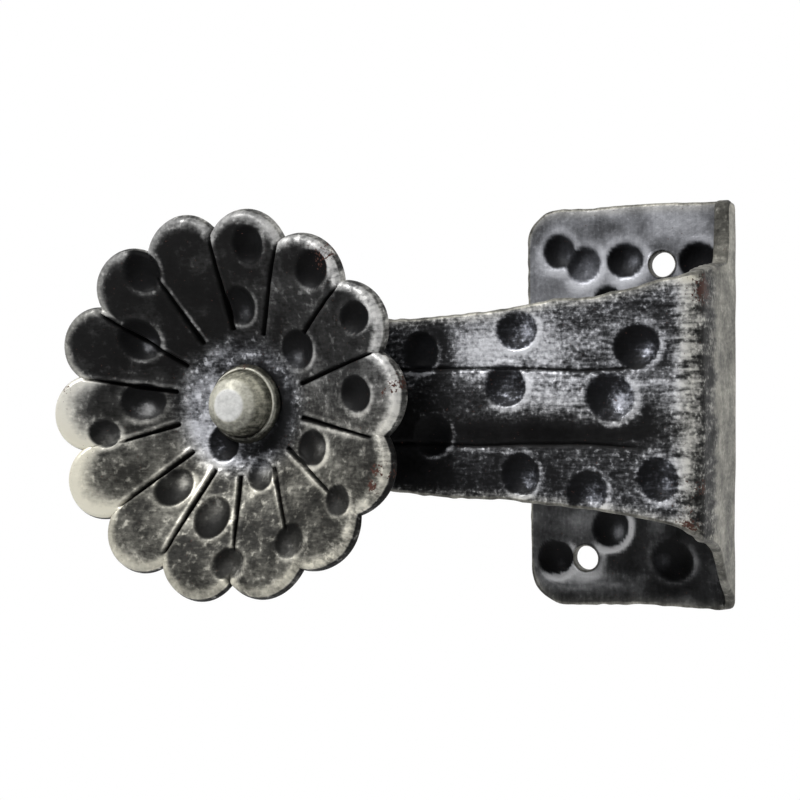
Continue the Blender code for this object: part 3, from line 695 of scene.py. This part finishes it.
def makeStrap(material):
    along = strapColumns()
    lower, upper = strapOutline(along)
    share = np.linspace(0, 1, strap["rowCount"])
    flat = np.empty((len(along), len(share), 2))
    flat[..., 0] = along[:, None]
    flat[..., 1] = lower[:, None] + (upper - lower)[:, None] * share

    # the holes' radii are given at the middle of their rounded edges
    lip = strap["edgeRound"]
    screwRadius = strap["screwHoleRadius"] + lip / 2
    holes = [openHole(flat, (x - plateLeftX, z), screwRadius, *strap["screwHoleSpans"])
             for x, z in strap["screwHoles"]]
    rivetAlong = strapAt["armStart"] + wallX - strap["foldRadius"] - rivetX
    rivetRadius = strap["rivetHoleRadius"] + lip / 2
    holes.append(openHole(flat, (rivetAlong, 0.0), rivetRadius, *strap["rivetHoleSpans"]))

    path = flat[..., 0].ravel()
    z = flat[..., 1].ravel()
    x, y, turn, _ = strapPath(path)
    lean = np.where(z > 0, strap["plateLean"], strap["plateLeanBelow"])
    x = x - lean * z / plateHalfHeight * np.clip(1 - path / strapAt["plateEnd"], 0, 1)
    base = asColumns(x, y, z)
    outward = asColumns(np.sin(turn), np.cos(turn), 0 * turn)
    forward = asColumns(np.cos(turn), -np.sin(turn), 0 * turn)
    armX = wallX - strap["foldRadius"] - (path - strapAt["armStart"])
    onArm = ease(path, strapAt["wallEnd"], strapAt["armStart"])
    onPlate = 1 - ease(path, strapAt["plateEnd"], strapAt["wallStart"])
    flatPlace = (armX, plateLeftX + path, z, onArm, onPlate, path)

    outerRise, innerRise, groove, waves, armMark, plateMark = strapRise(flatPlace, base)
    outer = base + outward * outerRise[:, None]
    onWall = ease(path, strapAt["plateEnd"] - 0.5, strapAt["plateEnd"] + 3.0) * (1 - onArm)
    fromLower = (flat[..., 1] - lower[:, None]).ravel()
    thinned = strap["thinned"] * onWall * (1 - ease(fromLower, 0.0, 5.0))
    inner = base - outward * (strap["thickness"] - thinned + innerRise)[:, None]

    # both faces without the cells inside the holes, then the cut edges round the outline and in each hole
    index = np.arange(len(path)).reshape(flat.shape[:2])
    kept = np.ones((index.shape[0] - 1, index.shape[1] - 1), bool)
    for first, last, low, high in holes:
        kept[first:last, low:high] = False
    faceQuads = gridQuads(index)[kept.ravel()]
    whole = (0, index.shape[0] - 1, 0, index.shape[1] - 1)
    rims = []
    for block, rounding in [(whole, 1.0)] + [(hole, -0.5) for hole in holes]:
        rim = rimOf(block, index)
        away = outwardOf(asColumns(path[rim], z[rim])) * rounding
        direction = away[:, :1] * forward[rim]
        direction[:, 2] += away[:, 1]
        rough = 1 + 0.18 * noise(path[rim] / 1.3, z[rim] / 1.3, 0.0, 61)
        rims.append((rim, direction * rough[:, None]))
    points, quads, source, through = closedSheet(outer, inner, faceQuads, faceQuads[:, ::-1], rims,
                                                 strap["thickness"], lip)

    # the cut edges are rubbed and warm, and so, a little, is each face beside them
    outerFinish, innerFinish = strapFinish(flatPlace, base, groove, waves, armMark, plateMark)
    fromUpper = (upper[:, None] - flat[..., 1]).ravel()
    nearEdge = bump(np.clip(np.minimum(fromUpper, fromLower), 0, None), 0.9)
    outerFinish[0] += 0.16 * nearEdge * (1 - 0.8 * onWall)
    innerFinish[0] += 0.10 * nearEdge
    outerFinish[1] += 0.6 * nearEdge
    innerFinish[1] += 0.6 * nearEdge
    onStub = bump(path - strapAt["wallStart"] - strap["stubDepth"] + strap["foldRadius"], 3.0)
    edgeRub = strap["edgeLevel"] + 0.05 * hammered(base, 3.0, 73) - 0.13 * onStub * ease(z, 23.0, 32.0)
    edgeFinish = np.stack(np.broadcast_arrays(edgeRub, 0.75, 0.28, 0.0))
    finish = bySide(through, source, outerFinish, edgeFinish, innerFinish)

    # the brush ran along the arm, and up and down the plate's front
    strokes = np.where(through[:, None] < 0.5, asColumns(path, z)[source], asColumns(z, path)[source])
    return buildPiece("forged_strap", points, [quads], finish, strokes, material)


# Rosette: rings of points round the rivet. Its dictionary's angles are degrees clockwise from the top,
# seen from the front.

rosette = {
    "thickness": 2.0,
    "seatGap": 0.3,
    "holeRadius": 2.8,
    "petalCount": 14,
    "firstPetal": -16.2,
    "petalTips": (32.7, 32.55, 32.35, 33.05, 33.1, 33.1, 33.15,
                  32.95, 33.2, 33.4, 33.35, 32.85, 32.95, 33.2),
    "petalNotches": (28.8, 29.3, 29.6, 29.7, 30.0, 30.5, 30.5,  # each on its petal's clockwise side
                     29.4, 29.2, 28.3, 27.0, 27.4, 27.8, 28.9),
    "rimSlope": 1.1,
    "flatRadius": 9.0,
    "dishSpan": 22.5,
    "dishDepth": 7.7,
    "dishPower": 1.35,
    "edgeRound": 0.72,
    "cutInnerHalfWidth": 0.50,
    "cutOuterHalfWidth": 0.24,
    "cutDepth": 1.0,
    "punchDepth": 1.05,
    "pillow": 0.35,  # how far each petal swells between its cuts
    "dentSize": 6.0,
    "dentDepth": 0.10,
    "middleLevel": 0.41,  # rub round the rivet, before marks and noise
    # haloLight: how bright the rubbed rings round the marks are, with their painted highlight on the lower
    # right
    "haloLight": 0.34,
    "cutDark": 0.35,
    "ringCount": 118,
    "columnsPerPetal": 38,
    "columnsCloser": 0.55,  # how much closer the columns stand at the notches
    "backRingStep": 6,  # the back is smooth, so it keeps every sixth ring
    "frontShare": 0.3,  # share of the rim's thickness with the front's finish
    # how worn each petal's face is, with painted shade on the upper and left petals and painted light on the
    # right and lower ones;
    # how worn its rim is, and how far the worn rim reaches in
    "petalRub": (0.26, 0.29, 0.33, 0.38, 0.45, 0.46, 0.47, 0.48, 0.48, 0.48, 0.48, 0.38, 0.28, 0.26),
    "rimRub": (0.44, 0.46, 0.48, 0.46, 0.46, 0.38, 0.28, 0.26, 0.28, 0.32, 0.58, 0.68, 0.38, 0.40),
    "rimReach": (2.9, 2.7, 2.4, 2.2, 2.4, 2.6, 2.4, 2.0, 2.2, 2.6, 6.4, 6.6, 2.4, 2.8),
    # (inner radius, inner angle, outer radius, outer angle, painted light on the clockwise lip)
    "chiselCuts": (
        (12.5, -4.0, 28.3, -4.3, 0.10), (12.4, 22.1, 28.2, 21.6, 0.08), (17.7, 48.7, 28.5, 48.2, 0.08),
        (12.0, 73.5, 29.1, 73.3, 0.08), (11.8, 100.4, 27.3, 100.8, 0.28), (11.4, 128.5, 23.9, 126.0, 0.28),
        (12.3, 147.6, 23.0, 150.8, 0.25), (12.0, 178.5, 23.9, 175.4, 0.30),
        (11.9, 201.9, 26.7, 203.2, 0.28), (11.8, 227.7, 25.9, 228.6, 0.22),
        (11.9, 253.5, 21.3, 252.6, 0.20), (12.0, 280.1, 27.0, 279.3, 0.18),
        (11.8, 303.1, 28.4, 303.4, 0.16), (12.1, 326.8, 24.4, 329.4, 0.40),
    ),
    # (radius, angle, size, rub inside, painted glint and, where it isn't at the lower right, its bearing);
    # the marks on the upper petals are darkest inside, as painted shade
    "punchMarks": (
        (26.5, 11.0, 2.9, 0.08, 0.0), (27.3, 37.5, 3.0, 0.08, 0.0), (27.9, 60.3, 2.6, 0.10, 0.0),
        (24.0, 85.8, 3.0, 0.12, 0.10), (25.9, 125.6, 2.4, 0.40, 0.0), (25.1, 150.5, 2.7, 0.42, 0.0),
        (26.0, 176.9, 2.7, 0.42, 0.0), (23.5, 257.8, 2.5, 0.30, 0.12), (26.8, 326.3, 3.3, 0.08, 0.0),
        (16.5, 4.5, 3.0, 0.22, 0.30, 165.0), (14.7, 52.1, 3.3, 0.26, 0.26, 200.0),
        (16.2, 115.7, 3.1, 0.26, 0.22, 90.0), (12.4, 160.0, 2.5, 0.44, 0.22, 20.0),
        (19.1, 189.6, 3.2, 0.34, 0.22, 10.0), (17.7, 218.0, 3.1, 0.34, 0.34, 50.0),
        (17.1, 271.7, 3.3, 0.24, 0.42, 165.0), (20.2, 303.0, 3.3, 0.14, 0.46),
        (7.3, 206.5, 3.0, 0.22, 0.16, 215.0),
    ),
    # (radius, angle, size, amount)
    "rustSpots": (
        (30.1, 110.1, 1.3, 0.72), (30.2, 114.9, 0.9, 0.68), (32.0, 113.0, 0.7, 0.7),
        (31.5, 84.1, 1.3, 0.62), (29.6, 86.2, 0.7, 0.62), (29.8, 38.4, 1.8, 0.50), (29.8, 275.4, 1.0, 0.60),
    ),
}


def placeOf(radius, degrees):
    # (right, up) of a place given by its radius and angle
    return radius * sin(radians(degrees)), radius * cos(radians(degrees))


def rimRadius(angle):
    # each petal is an arc through its tip and its two notches; returns the radius and the petal's number
    step = 2 * pi / rosette["petalCount"]
    first = radians(rosette["firstPetal"])
    petal = np.round((angle - first) / step).astype(int)
    off = angle - first - petal * step
    petal = petal % rosette["petalCount"]
    tips = np.array(rosette["petalTips"])
    notches = np.array(rosette["petalNotches"])
    share = off / step + 0.5
    notch = notches[petal - 1] * (1 - share) + notches[petal] * share
    tip = tips[petal]
    halfChord = notch * sin(step / 2)
    rise = tip - notch * cos(step / 2)
    arc = (halfChord ** 2 + rise ** 2) / (2 * rise)
    centre = tip - arc
    radius = centre * np.cos(off) + np.sqrt(np.maximum(arc ** 2 - (centre * np.sin(off)) ** 2, 0))
    return radius, petal


def dishHeight(radius):
    # flat in the middle, then a quarter sine of a power of the way out: it rises and levels out at the rim
    along = np.clip((radius - rosette["flatRadius"]) / rosette["dishSpan"], 0, 1.08)
    return rosette["dishDepth"] * np.sin(halfPi * along ** rosette["dishPower"])


def chiselled(right, up):
    # chisel cuts, wedges with a square inner end: (depth, lip for the form, lip with painted light for the
    # finish)
    cut, lip, litLip = (np.zeros_like(right) for _ in range(3))
    for innerRadius, innerDegrees, outerRadius, outerDegrees, light in rosette["chiselCuts"]:
        startRight, startUp = placeOf(innerRadius, innerDegrees)
        endRight, endUp = placeOf(outerRadius, outerDegrees)
        length = np.hypot(endRight - startRight, endUp - startUp)
        alongRight = (endRight - startRight) / length
        alongUp = (endUp - startUp) / length
        forth = (right - startRight) * alongRight + (up - startUp) * alongUp
        clockwise = (right - startRight) * alongUp - (up - startUp) * alongRight
        share = np.clip(forth / length, 0, 1)
        halfCut = rosette["cutInnerHalfWidth"] * (1 - share) + rosette["cutOuterHalfWidth"] * share
        within = ease(forth, -0.2, 0.15) * (1 - ease(forth, length - 0.8, length + 0.5))
        across = np.abs(clockwise)
        cut = np.maximum(cut, within * np.clip(1.3 * (1 - across / halfCut), 0, 1))
        lip = np.maximum(lip, bump(across - halfCut - 0.30, 0.28) * within)
        lit = bump(across - halfCut - 0.35, 0.34) * within * light * np.where(clockwise > 0, 1.0, 0.25)
        litLip = np.maximum(litLip, lit)
    return cut, lip, litLip


def rosetteFinish(place, petal, form):
    # rub, tint, unevenness and rust of the front face, as rows of one array
    radius, theta, right, up, rimGap = place
    cut, litLip, waves, mark = form
    _, _, inside, markRub, halo = mark
    petals = rosette["petalCount"]
    turn = (theta - radians(rosette["firstPetal"])) / (2 * pi / petals)
    around = np.arange(-1, petals + 1)
    petalField = np.interp(turn % petals, around, np.array(rosette["petalRub"])[around % petals])
    rubHere = np.array(rosette["rimRub"])[petal][:, None]
    reachHere = np.array(rosette["rimReach"])[petal][:, None]
    crescent = 1 - ease(rimGap, 0.4, reachHere)

    # the middle is painted lighter toward the lower left, as a painted sheen, with a painted shadow ring by
    # the rivet on its lower right
    onMiddle = 1 - ease(radius, 9.0, 14.0)
    paintedLightLowLeft = ease(-right - 0.6 * up, -6.0, 8.0)
    shaded = bump(np.hypot(right - 0.9, up + 0.7) - 7.2, 1.2) * ease(right - 0.6 * up, -8.0, 2.0)
    middleField = rosette["middleLevel"] + 0.33 * paintedLightLowLeft
    field = petalField * (1 - onMiddle) + middleField * onMiddle - 0.22 * shaded + crescent * rubHere
    # painted light on the cut lips and in the rings round the marks
    field = field + (litLip + rosette["haloLight"] * halo) * (0.75 + 0.45 * waves)
    rubAndPaintedLight = field * (1 - inside) + markRub * inside - rosette["cutDark"] * cut + 0.05 * waves

    # warmer toward the bottom, bluish at the middle and in the marks
    low = ease(-up, -8.0, 14.0)
    tint = (-0.6 * onMiddle + 0.80 * low * (1 - onMiddle) - (0.5 - 0.25 * low) * inside
            + 0.4 * crescent * ease(-up - right, -10.0, 20.0))
    rimSides = 0.75 * ease(right, 5.0, 20.0) - 0.15 * ease(-right, 5.0, 20.0)
    uneven = 0.60 + 0.65 * onMiddle + rimSides * crescent - 0.2 * inside
    rust = 0 * radius
    for spotRadius, degrees, size, amount in rosette["rustSpots"]:
        spotRight, spotUp = placeOf(spotRadius, degrees)
        rust = np.maximum(rust, amount * bump(np.hypot(right - spotRight, up - spotUp), size))
    return np.stack([part.ravel() for part in (rubAndPaintedLight, tint, uneven, rust)])


def makeRosette(material):
    step = 2 * pi / rosette["petalCount"]
    share = np.arange(rosette["petalCount"] * rosette["columnsPerPetal"]) / rosette["columnsPerPetal"]
    squeezed = share - rosette["columnsCloser"] * np.sin(2 * pi * share) / (2 * pi)
    angle = radians(rosette["firstPetal"]) + (squeezed - 0.5) * step
    rim, petal = rimRadius(angle)
    lip = rosette["edgeRound"]
    frontRim = rim - rosette["rimSlope"]

    # rings from the hole to the rim; the back's reach further out, so the rim's edge slopes
    rings = np.linspace(0, 1, rosette["ringCount"])
    innerEdge = rosette["holeRadius"] + lip / 2
    radius = innerEdge + (frontRim - lip - innerEdge)[:, None] * rings
    backRadius = innerEdge + (rim - lip - innerEdge)[:, None] * rings
    theta = np.repeat(angle[:, None], len(rings), axis=1)
    right = radius * np.sin(theta)
    up = radius * np.cos(theta)
    rimGap = frontRim[:, None] - radius

    marks = [(*placeOf(markRadius, degrees), *others)
             for markRadius, degrees, *others in rosette["punchMarks"]]
    mark = punched(right, up, marks, 0.14)
    cut, cutLip, litLip = chiselled(right, up)
    flatPlace = asColumns(right, up, 0 * right)
    waves = hammered(flatPlace, rosette["dentSize"], 81).reshape(radius.shape)
    ripples = hammered(flatPlace, 1.6, 83).reshape(radius.shape)
    fromRidge = np.abs((squeezed[:, None] % 1) - 0.5) * 2
    pillow = rosette["pillow"] * (1 - fromRidge ** 2) * ease(radius, 12.0, 22.0)
    dents = (rosette["dentDepth"] * waves + 0.03 * ripples) * ease(radius, 5.0, 9.0)
    back = rosette["seatGap"] + dishHeight(radius) + dents
    front = (back + rosette["thickness"] + pillow - rosette["punchDepth"] * mark[0] + 0.10 * mark[1]
             - rosette["cutDepth"] * cut + 0.10 * cutLip)

    # both faces, then the rim's edge and the wall of the hole, which runs the other way round
    index = np.arange(front.size).reshape(front.shape)
    closed = np.concatenate([index, index[:1]])
    coarse = np.unique(np.append(np.arange(0, len(rings), rosette["backRingStep"]), len(rings) - 1))
    outward = asColumns(np.sin(angle), np.cos(angle))
    rimNormal = -outwardOf(frontRim[:, None] * outward)
    rims = [(line, np.pad(away, ((0, 0), (0, 1)))) for line, away in
            ((index[:, -1], rimNormal), (index[::-1, 0], -0.5 * outward[::-1]))]
    points, quads, source, through = closedSheet(
        asColumns(right, up, front), asColumns(backRadius * np.sin(theta), backRadius * np.cos(theta), back),
        gridQuads(closed)[:, ::-1], gridQuads(closed[:, coarse]), rims, rosette["thickness"], lip)

    # the sloping edge is rubbed silver with painted light at the upper right and painted shade, black, below;
    # the back is plain patina
    frontFinish = rosetteFinish((radius, theta, right, up, rimGap), petal, (cut, litLip, waves, mark))
    edgeRub = 0.36 + 0.24 * ease(0.5 * right + up, 8.0, 30.0) + 0.06 * waves
    edgeFinish = np.stack(np.broadcast_arrays(edgeRub.ravel(), 0.3, 1.1, frontFinish[3]))
    backFinish = np.stack(np.broadcast_arrays(0.30 + 0.10 * waves.ravel(), 0.0, 1.0, 0.0))
    finish = bySide(through, source, frontFinish, edgeFinish, backFinish, rosette["frontShare"])
    strokes = asColumns(right, up)[source]
    return buildPiece("petal_rosette", turnedTo(points), [quads], finish, strokes, material)


# Rivet: a turned form, hammered a little out of round

rivet = {
    "shankRadius": 2.5,
    "footRadius": 6.6,
    "lipRadius": 6.05,
    "lipStep": 0.5,
    "lipHeight": 1.1,
    "headHeight": 4.6,
    "discRadius": 2.7,
    "shoulderRadius": 4.3,
    "shoulderDrop": 0.85,
    "headShift": (0.95, 0.1),  # (right, up) of the whole head, off the shank
    "topShift": (-0.70, -0.25),  # and of its top, off the rest
    "closingRadius": 4.6,
    "closingHeight": 2.0,
    "dentSize": 2.2,
    "dentDepth": 0.07,
    "level": 0.68,  # rub of the slope
    "domeSteps": 60,
    "columnCount": 160,
}


def rivetProfile():
    # (radius, height) from the top of the head down to the closed end: disc, shoulder, slope, groove, lip,
    # sloping foot, shank and low closing dome
    seat = rosette["seatGap"] + rosette["thickness"] + rosette["seatGap"]
    lipTop = seat + rivet["lipHeight"]
    top = seat + rivet["headHeight"]
    lip = rivet["lipRadius"]
    halfStep = rivet["lipStep"] / 2
    shank = rivet["shankRadius"]
    closing = rivet["closingRadius"]
    closed = -strap["thickness"] - rosette["seatGap"]

    # the dome is a smooth curve through five corners, by how far along them it has come
    radii, heights = np.array([
        (0.0, top + 0.12),
        (rivet["discRadius"] - 0.2, top),
        (rivet["shoulderRadius"], top - rivet["shoulderDrop"]),
        (rivet["shoulderRadius"] + 0.95, lipTop + 1.2),
        (lip - rivet["lipStep"] - 0.05, lipTop - 0.15),
    ]).T
    travel = np.append(0, np.cumsum(np.hypot(np.diff(radii), np.diff(heights))))
    fine = np.linspace(0, travel[-1], rivet["domeSteps"])
    spread = np.exp(-((fine[:, None] - fine[None]) / 0.32) ** 2)
    spread /= spread.sum(axis=1)[:, None]
    dome = asColumns(spread @ np.interp(fine, travel, radii), spread @ np.interp(fine, travel, heights))

    turn = np.linspace(0, pi, 12)
    quarter = np.linspace(0, halfPi, 30)[1:]
    return np.concatenate([
        dome,
        asColumns(lip - halfStep - halfStep * np.cos(turn), lipTop - 0.25 + 0.35 * np.sin(turn)),
        np.linspace((lip + 0.05, lipTop - 0.4), (rivet["footRadius"], seat), 5),
        np.linspace((shank + 0.4, seat), (shank, seat - 0.2), 3),
        np.linspace((shank, seat - 0.4), (shank, closed + 0.2), 8),
        np.linspace((closing - 0.3, closed), (closing, closed - 0.25), 3),
        asColumns(closing * np.cos(quarter), closed - 0.25 - rivet["closingHeight"] * np.sin(quarter) ** 1.2),
    ])


def makeRivet(material):
    profile = rivetProfile()[1:-1]
    columns = rivet["columnCount"]
    angle = 2 * pi * np.arange(columns) / columns
    radius = profile[:, :1] * (1 + 0.010 * np.sin(2 * angle + 0.6) + 0.006 * np.sin(5 * angle))
    height = np.repeat(profile[:, 1:], columns, axis=1)
    onHead = ease(height, 2.3, 2.6)
    lipTop = rosette["seatGap"] * 2 + rosette["thickness"] + rivet["lipHeight"]
    upper = ease(height, lipTop, lipTop + 3.2)
    headRight, headUp = rivet["headShift"]
    topRight, topUp = rivet["topShift"]
    right = radius * np.sin(angle)
    up = radius * np.cos(angle)
    dents = hammered(asColumns(right, up, height), rivet["dentSize"], 91).reshape(height.shape)
    points = asColumns(right + headRight * onHead + topRight * upper, up + headUp * onHead + topUp * upper,
                       height + rivet["dentDepth"] * dents * onHead)

    # rings of quads, and a fan of triangles at each end
    index = np.arange(len(points)).reshape(height.shape)
    index = np.concatenate([index, index[:, :1]], axis=1)
    first = [headRight + topRight, headUp + topUp, height[0].mean()]
    last = [0, 0, height[-1].mean()]
    tip = np.full(columns, len(points))
    fans = np.concatenate([asColumns(tip, index[0, :-1], index[0, 1:]),
                           asColumns(tip + 1, index[-1, 1:], index[-1, :-1])])
    points = np.concatenate([points, [first, last]])

    # a bright pressed disc on top, rubbed and with a painted highlight, a light shoulder, an olive slope, a
    # dark groove, a bright lip with a painted highlight toward its upper right, a foot darkened as painted
    # shade, and painted shade on the head's lower left and lower right
    inDome = (np.arange(len(profile)) < rivet["domeSteps"] - 1)[:, None] * onHead
    lipRadius = rivet["lipRadius"]
    disc = (1 - ease(radius, rivet["discRadius"] - 0.25, rivet["discRadius"] + 0.25)) * inDome
    shoulder = (1 - ease(radius, rivet["shoulderRadius"] - 0.2, rivet["shoulderRadius"] + 0.35)) * inDome
    groove = ease(radius, lipRadius - 1.0, lipRadius - 0.5) * inDome
    lip = bump(radius - lipRadius + 0.2, 0.28) * (1 - inDome) * onHead
    foot = ease(radius, lipRadius - 0.05, lipRadius + 0.15) * onHead
    lowLeftShade = ease(-up - 0.5 * right, 0.3, 4.5) * onHead * (1 - disc)
    lowRightShade = bump(np.hypot(right - 3.2, up + 2.6), 1.6) * onHead
    rubAndPaintedLight = (rivet["level"] + 0.09 * shoulder + 0.17 * disc + 0.16 * lip * ease(up + 0.8 * right, -4.5, 3.0)
           - 0.18 * groove - 0.30 * foot * (1 - lip) * (1 - 0.6 * lowLeftShade)
           - 0.16 * lowLeftShade - 0.12 * lowRightShade)
    tint = 0.95 - 0.35 * shoulder - 0.75 * disc - 0.5 * lip
    uneven = 1.0 - 0.3 * shoulder
    rust = 0.62 * bump(np.hypot(right - 0.3, up - 6.3), 0.8) * onHead
    finish = np.stack([np.append(part.ravel(), ends) for part, ends in
                       ((rubAndPaintedLight, (0.98, 0.4)), (tint, (-0.15, 0.5)), (uneven, (0.5, 1.0)), (rust, (0.0, 0.0)))])
    strokes = np.concatenate([asColumns(right, up), [[0, 0], [0, 0]]])
    return buildPiece("domed_rivet", turnedTo(points), [gridQuads(index), fans], finish, strokes, material)


# Finishes

blackenedIron = {
    "strokeStretch": (0.45, 1.9, 1.0),
    "strokeTurn": 0.0,
    "grainScale": 1500.0,
    "speckScale": 1500.0,
    "speckAmount": 0.16,
    "mottleScale": 750.0,
    "patchScale": 170.0,
    "streakAmount": 0.66,
    "grainAmount": 0.52,
    "mottleAmount": 0.55,
    "patchAmount": 0.45,
    "colours": ((0.0, (0.002, 0.002, 0.002)), (0.30, (0.009, 0.009, 0.009)), (0.42, (0.030, 0.030, 0.030)),
                (0.52, (0.090, 0.090, 0.089)), (0.64, (0.22, 0.22, 0.217)), (0.78, (0.42, 0.417, 0.41)),
                (1.0, (0.66, 0.655, 0.64))),
    "coolTint": (0.84, 0.87, 1.0),
    "warmTint": (1.0, 0.96, 0.82),
    "calmRange": (0.20, 0.56),  # rub over which the noise comes up to its full strength
    "calmLeast": 0.40,
    "wornRange": (0.18, 0.42),  # rub over which flecks come in
    "speckRange": (0.58, 0.72),  # noise over which a fleck comes in
    "rustColour": (0.066, 0.031, 0.024),
    "rustScale": 2200.0,
    "rustSwing": 2.4,
    "rustRange": (0.45, 0.62),
    "metalRange": (0.3, 0.8),  # wear over which it turns from patina to metal
    "roughRange": (0.2, 0.9),
    "metalLow": 0.05,
    "metalHigh": 0.35,
    "roughLow": 0.55,
    "roughHigh": 0.42,
    "specular": 0.07,
    "relief": (0.3, 0.6, 0.9),  # shares of the strokes, the grain and the mottling
    "bumpStrength": 0.7,
    "bumpHeight": 0.10,
}

rubbedIron = dict(blackenedIron)
rubbedIron.update({
    "strokeStretch": (0.6, 2.2, 1.0),
    "strokeTurn": 0.6,
    "mottleScale": 400.0,
    "speckScale": 800.0,
    "speckAmount": 0.24,
    "streakAmount": 0.40,
    "grainAmount": 0.40,
    "mottleAmount": 0.65,
})

wornSteel = dict(blackenedIron)
wornSteel.update({
    "warmTint": (1.0, 0.97, 0.78),
    "strokeStretch": (1.0, 2.0, 1.0),
    "grainScale": 1600.0,
    "speckAmount": 0.0,
    "streakAmount": 0.3,
    "grainAmount": 0.35,
    "mottleAmount": 0.45,
    "patchAmount": 0.2,
    "metalHigh": 0.25,
    "roughLow": 0.6,
    "roughHigh": 0.5,
    "bumpHeight": 0.05,
})


# Stage, light and camera

# here the lengths are metres
stage = {
    "floorZ": -0.32,
    "backdropY": 0.60,
    "span": 8.0,
    "pale": (0.88, 0.88, 0.88),
    "worldLevel": 0.30,
    "worldColour": (0.96, 0.98, 1.0, 1.0),
    "lampAim": (-0.02, -0.02, 0.0),
    "lampDistance": 1.1,
    "keyFrom": (-0.42, -0.58, 0.70),
    "keySize": 0.40,
    "keyPower": 14.0,
    "fillFrom": (0.9, -0.05, 0.35),
    "fillSize": 0.80,
    "fillPower": 2.6,
}

# the camera stands level, at this distance from its aim and at the photo's angle
view = {
    "aim": (-23.42, -47.58, 0.75),
    "azimuth": 23.0,
    "distance": 240.0,
    "lens": 72.0,
    "sensor": 36.0,
}


def paleMaterial(name, glows):
    # plain pale paint; where it glows, it is plain white to the camera and in reflections
    material, tree, shader = startMaterial(name)
    shader.inputs["Base Color"].default_value = (*stage["pale"], 1.0)
    shader.inputs["Roughness"].default_value = 0.9
    shader.inputs["Specular IOR Level"].default_value = 0.0
    if glows:
        rays = addNode(tree, "ShaderNodeLightPath").outputs
        seen = calculate(tree, "MAXIMUM", rays["Is Camera Ray"], rays["Is Glossy Ray"])
        seen = calculate(tree, "MAXIMUM", seen, rays["Is Transmission Ray"])
        white = addNode(tree, "ShaderNodeEmission", {"Color": (1, 1, 1, 1), "Strength": 1.0})
        mixed = addNode(tree, "ShaderNodeMixShader", {0: seen, 1: shader.outputs[0], 2: white.outputs[0]})
        tree.links.new(mixed.outputs[0], tree.nodes["Material Output"].inputs["Surface"])
    return material


def addSheet(name, corners, material):
    mesh = bpy.data.meshes.new(name)
    mesh.from_pydata(corners, [], [(0, 1, 2, 3)])
    mesh.materials.append(material)
    sheet = addObject(name, mesh)


def addLamp(name, direction, size, power):
    lamp = bpy.data.lights.new(name, "AREA")
    lamp.shape = "DISK"
    lamp.size = size
    lamp.energy = power
    holder = addObject(name, lamp)
    toward = Vector(direction).normalized()
    holder.location = Vector(stage["lampAim"]) + toward * stage["lampDistance"]
    holder.rotation_euler = toward.to_track_quat("Z", "Y").to_euler()


def setStage():
    half = stage["span"] / 2
    floor = stage["floorZ"]
    back = stage["backdropY"]
    farEdge = [(half, back, floor), (-half, back, floor)]
    addSheet("floor", [(-half, -half, floor), (half, -half, floor), *farEdge],
             paleMaterial("pale_floor", False))
    addSheet("backdrop", [*farEdge[::-1], (half, back, half), (-half, back, half)],
             paleMaterial("pale_backdrop", True))
    world = bpy.data.worlds.new("studio")
    bpy.context.scene.world = world
    world.use_nodes = True
    sky = world.node_tree.nodes["Background"]
    sky.inputs["Color"].default_value = stage["worldColour"]
    sky.inputs["Strength"].default_value = stage["worldLevel"]
    addLamp("key", stage["keyFrom"], stage["keySize"], stage["keyPower"])
    addLamp("fill", stage["fillFrom"], stage["fillSize"], stage["fillPower"])


def setCamera():
    lens = bpy.data.cameras.new("camera")
    lens.sensor_width = view["sensor"]
    lens.lens = view["lens"]
    camera = addObject("camera", lens)
    turn = radians(view["azimuth"])
    back = Vector((sin(turn), -cos(turn), 0))
    camera.location = (Vector(view["aim"]) + back * view["distance"]) * mm
    camera.rotation_euler = (halfPi, 0, turn)
    lens.clip_start = 0.01  # nearer than the preset, because the object is small
    bpy.context.scene.camera = camera
    bpy.context.scene.view_settings.view_transform = "Standard"


def dress(piece, node):
    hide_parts(node)
    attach(piece, "root")


dress(makeStrap(forgedIron("blackened_iron", blackenedIron)), "bracket_strap")
dress(makeRosette(forgedIron("rubbed_iron", rubbedIron)), "rosette")
dress(makeRivet(forgedIron("worn_steel", wornSteel)), "rivet")
setStage()
setCamera()
print("stage set")
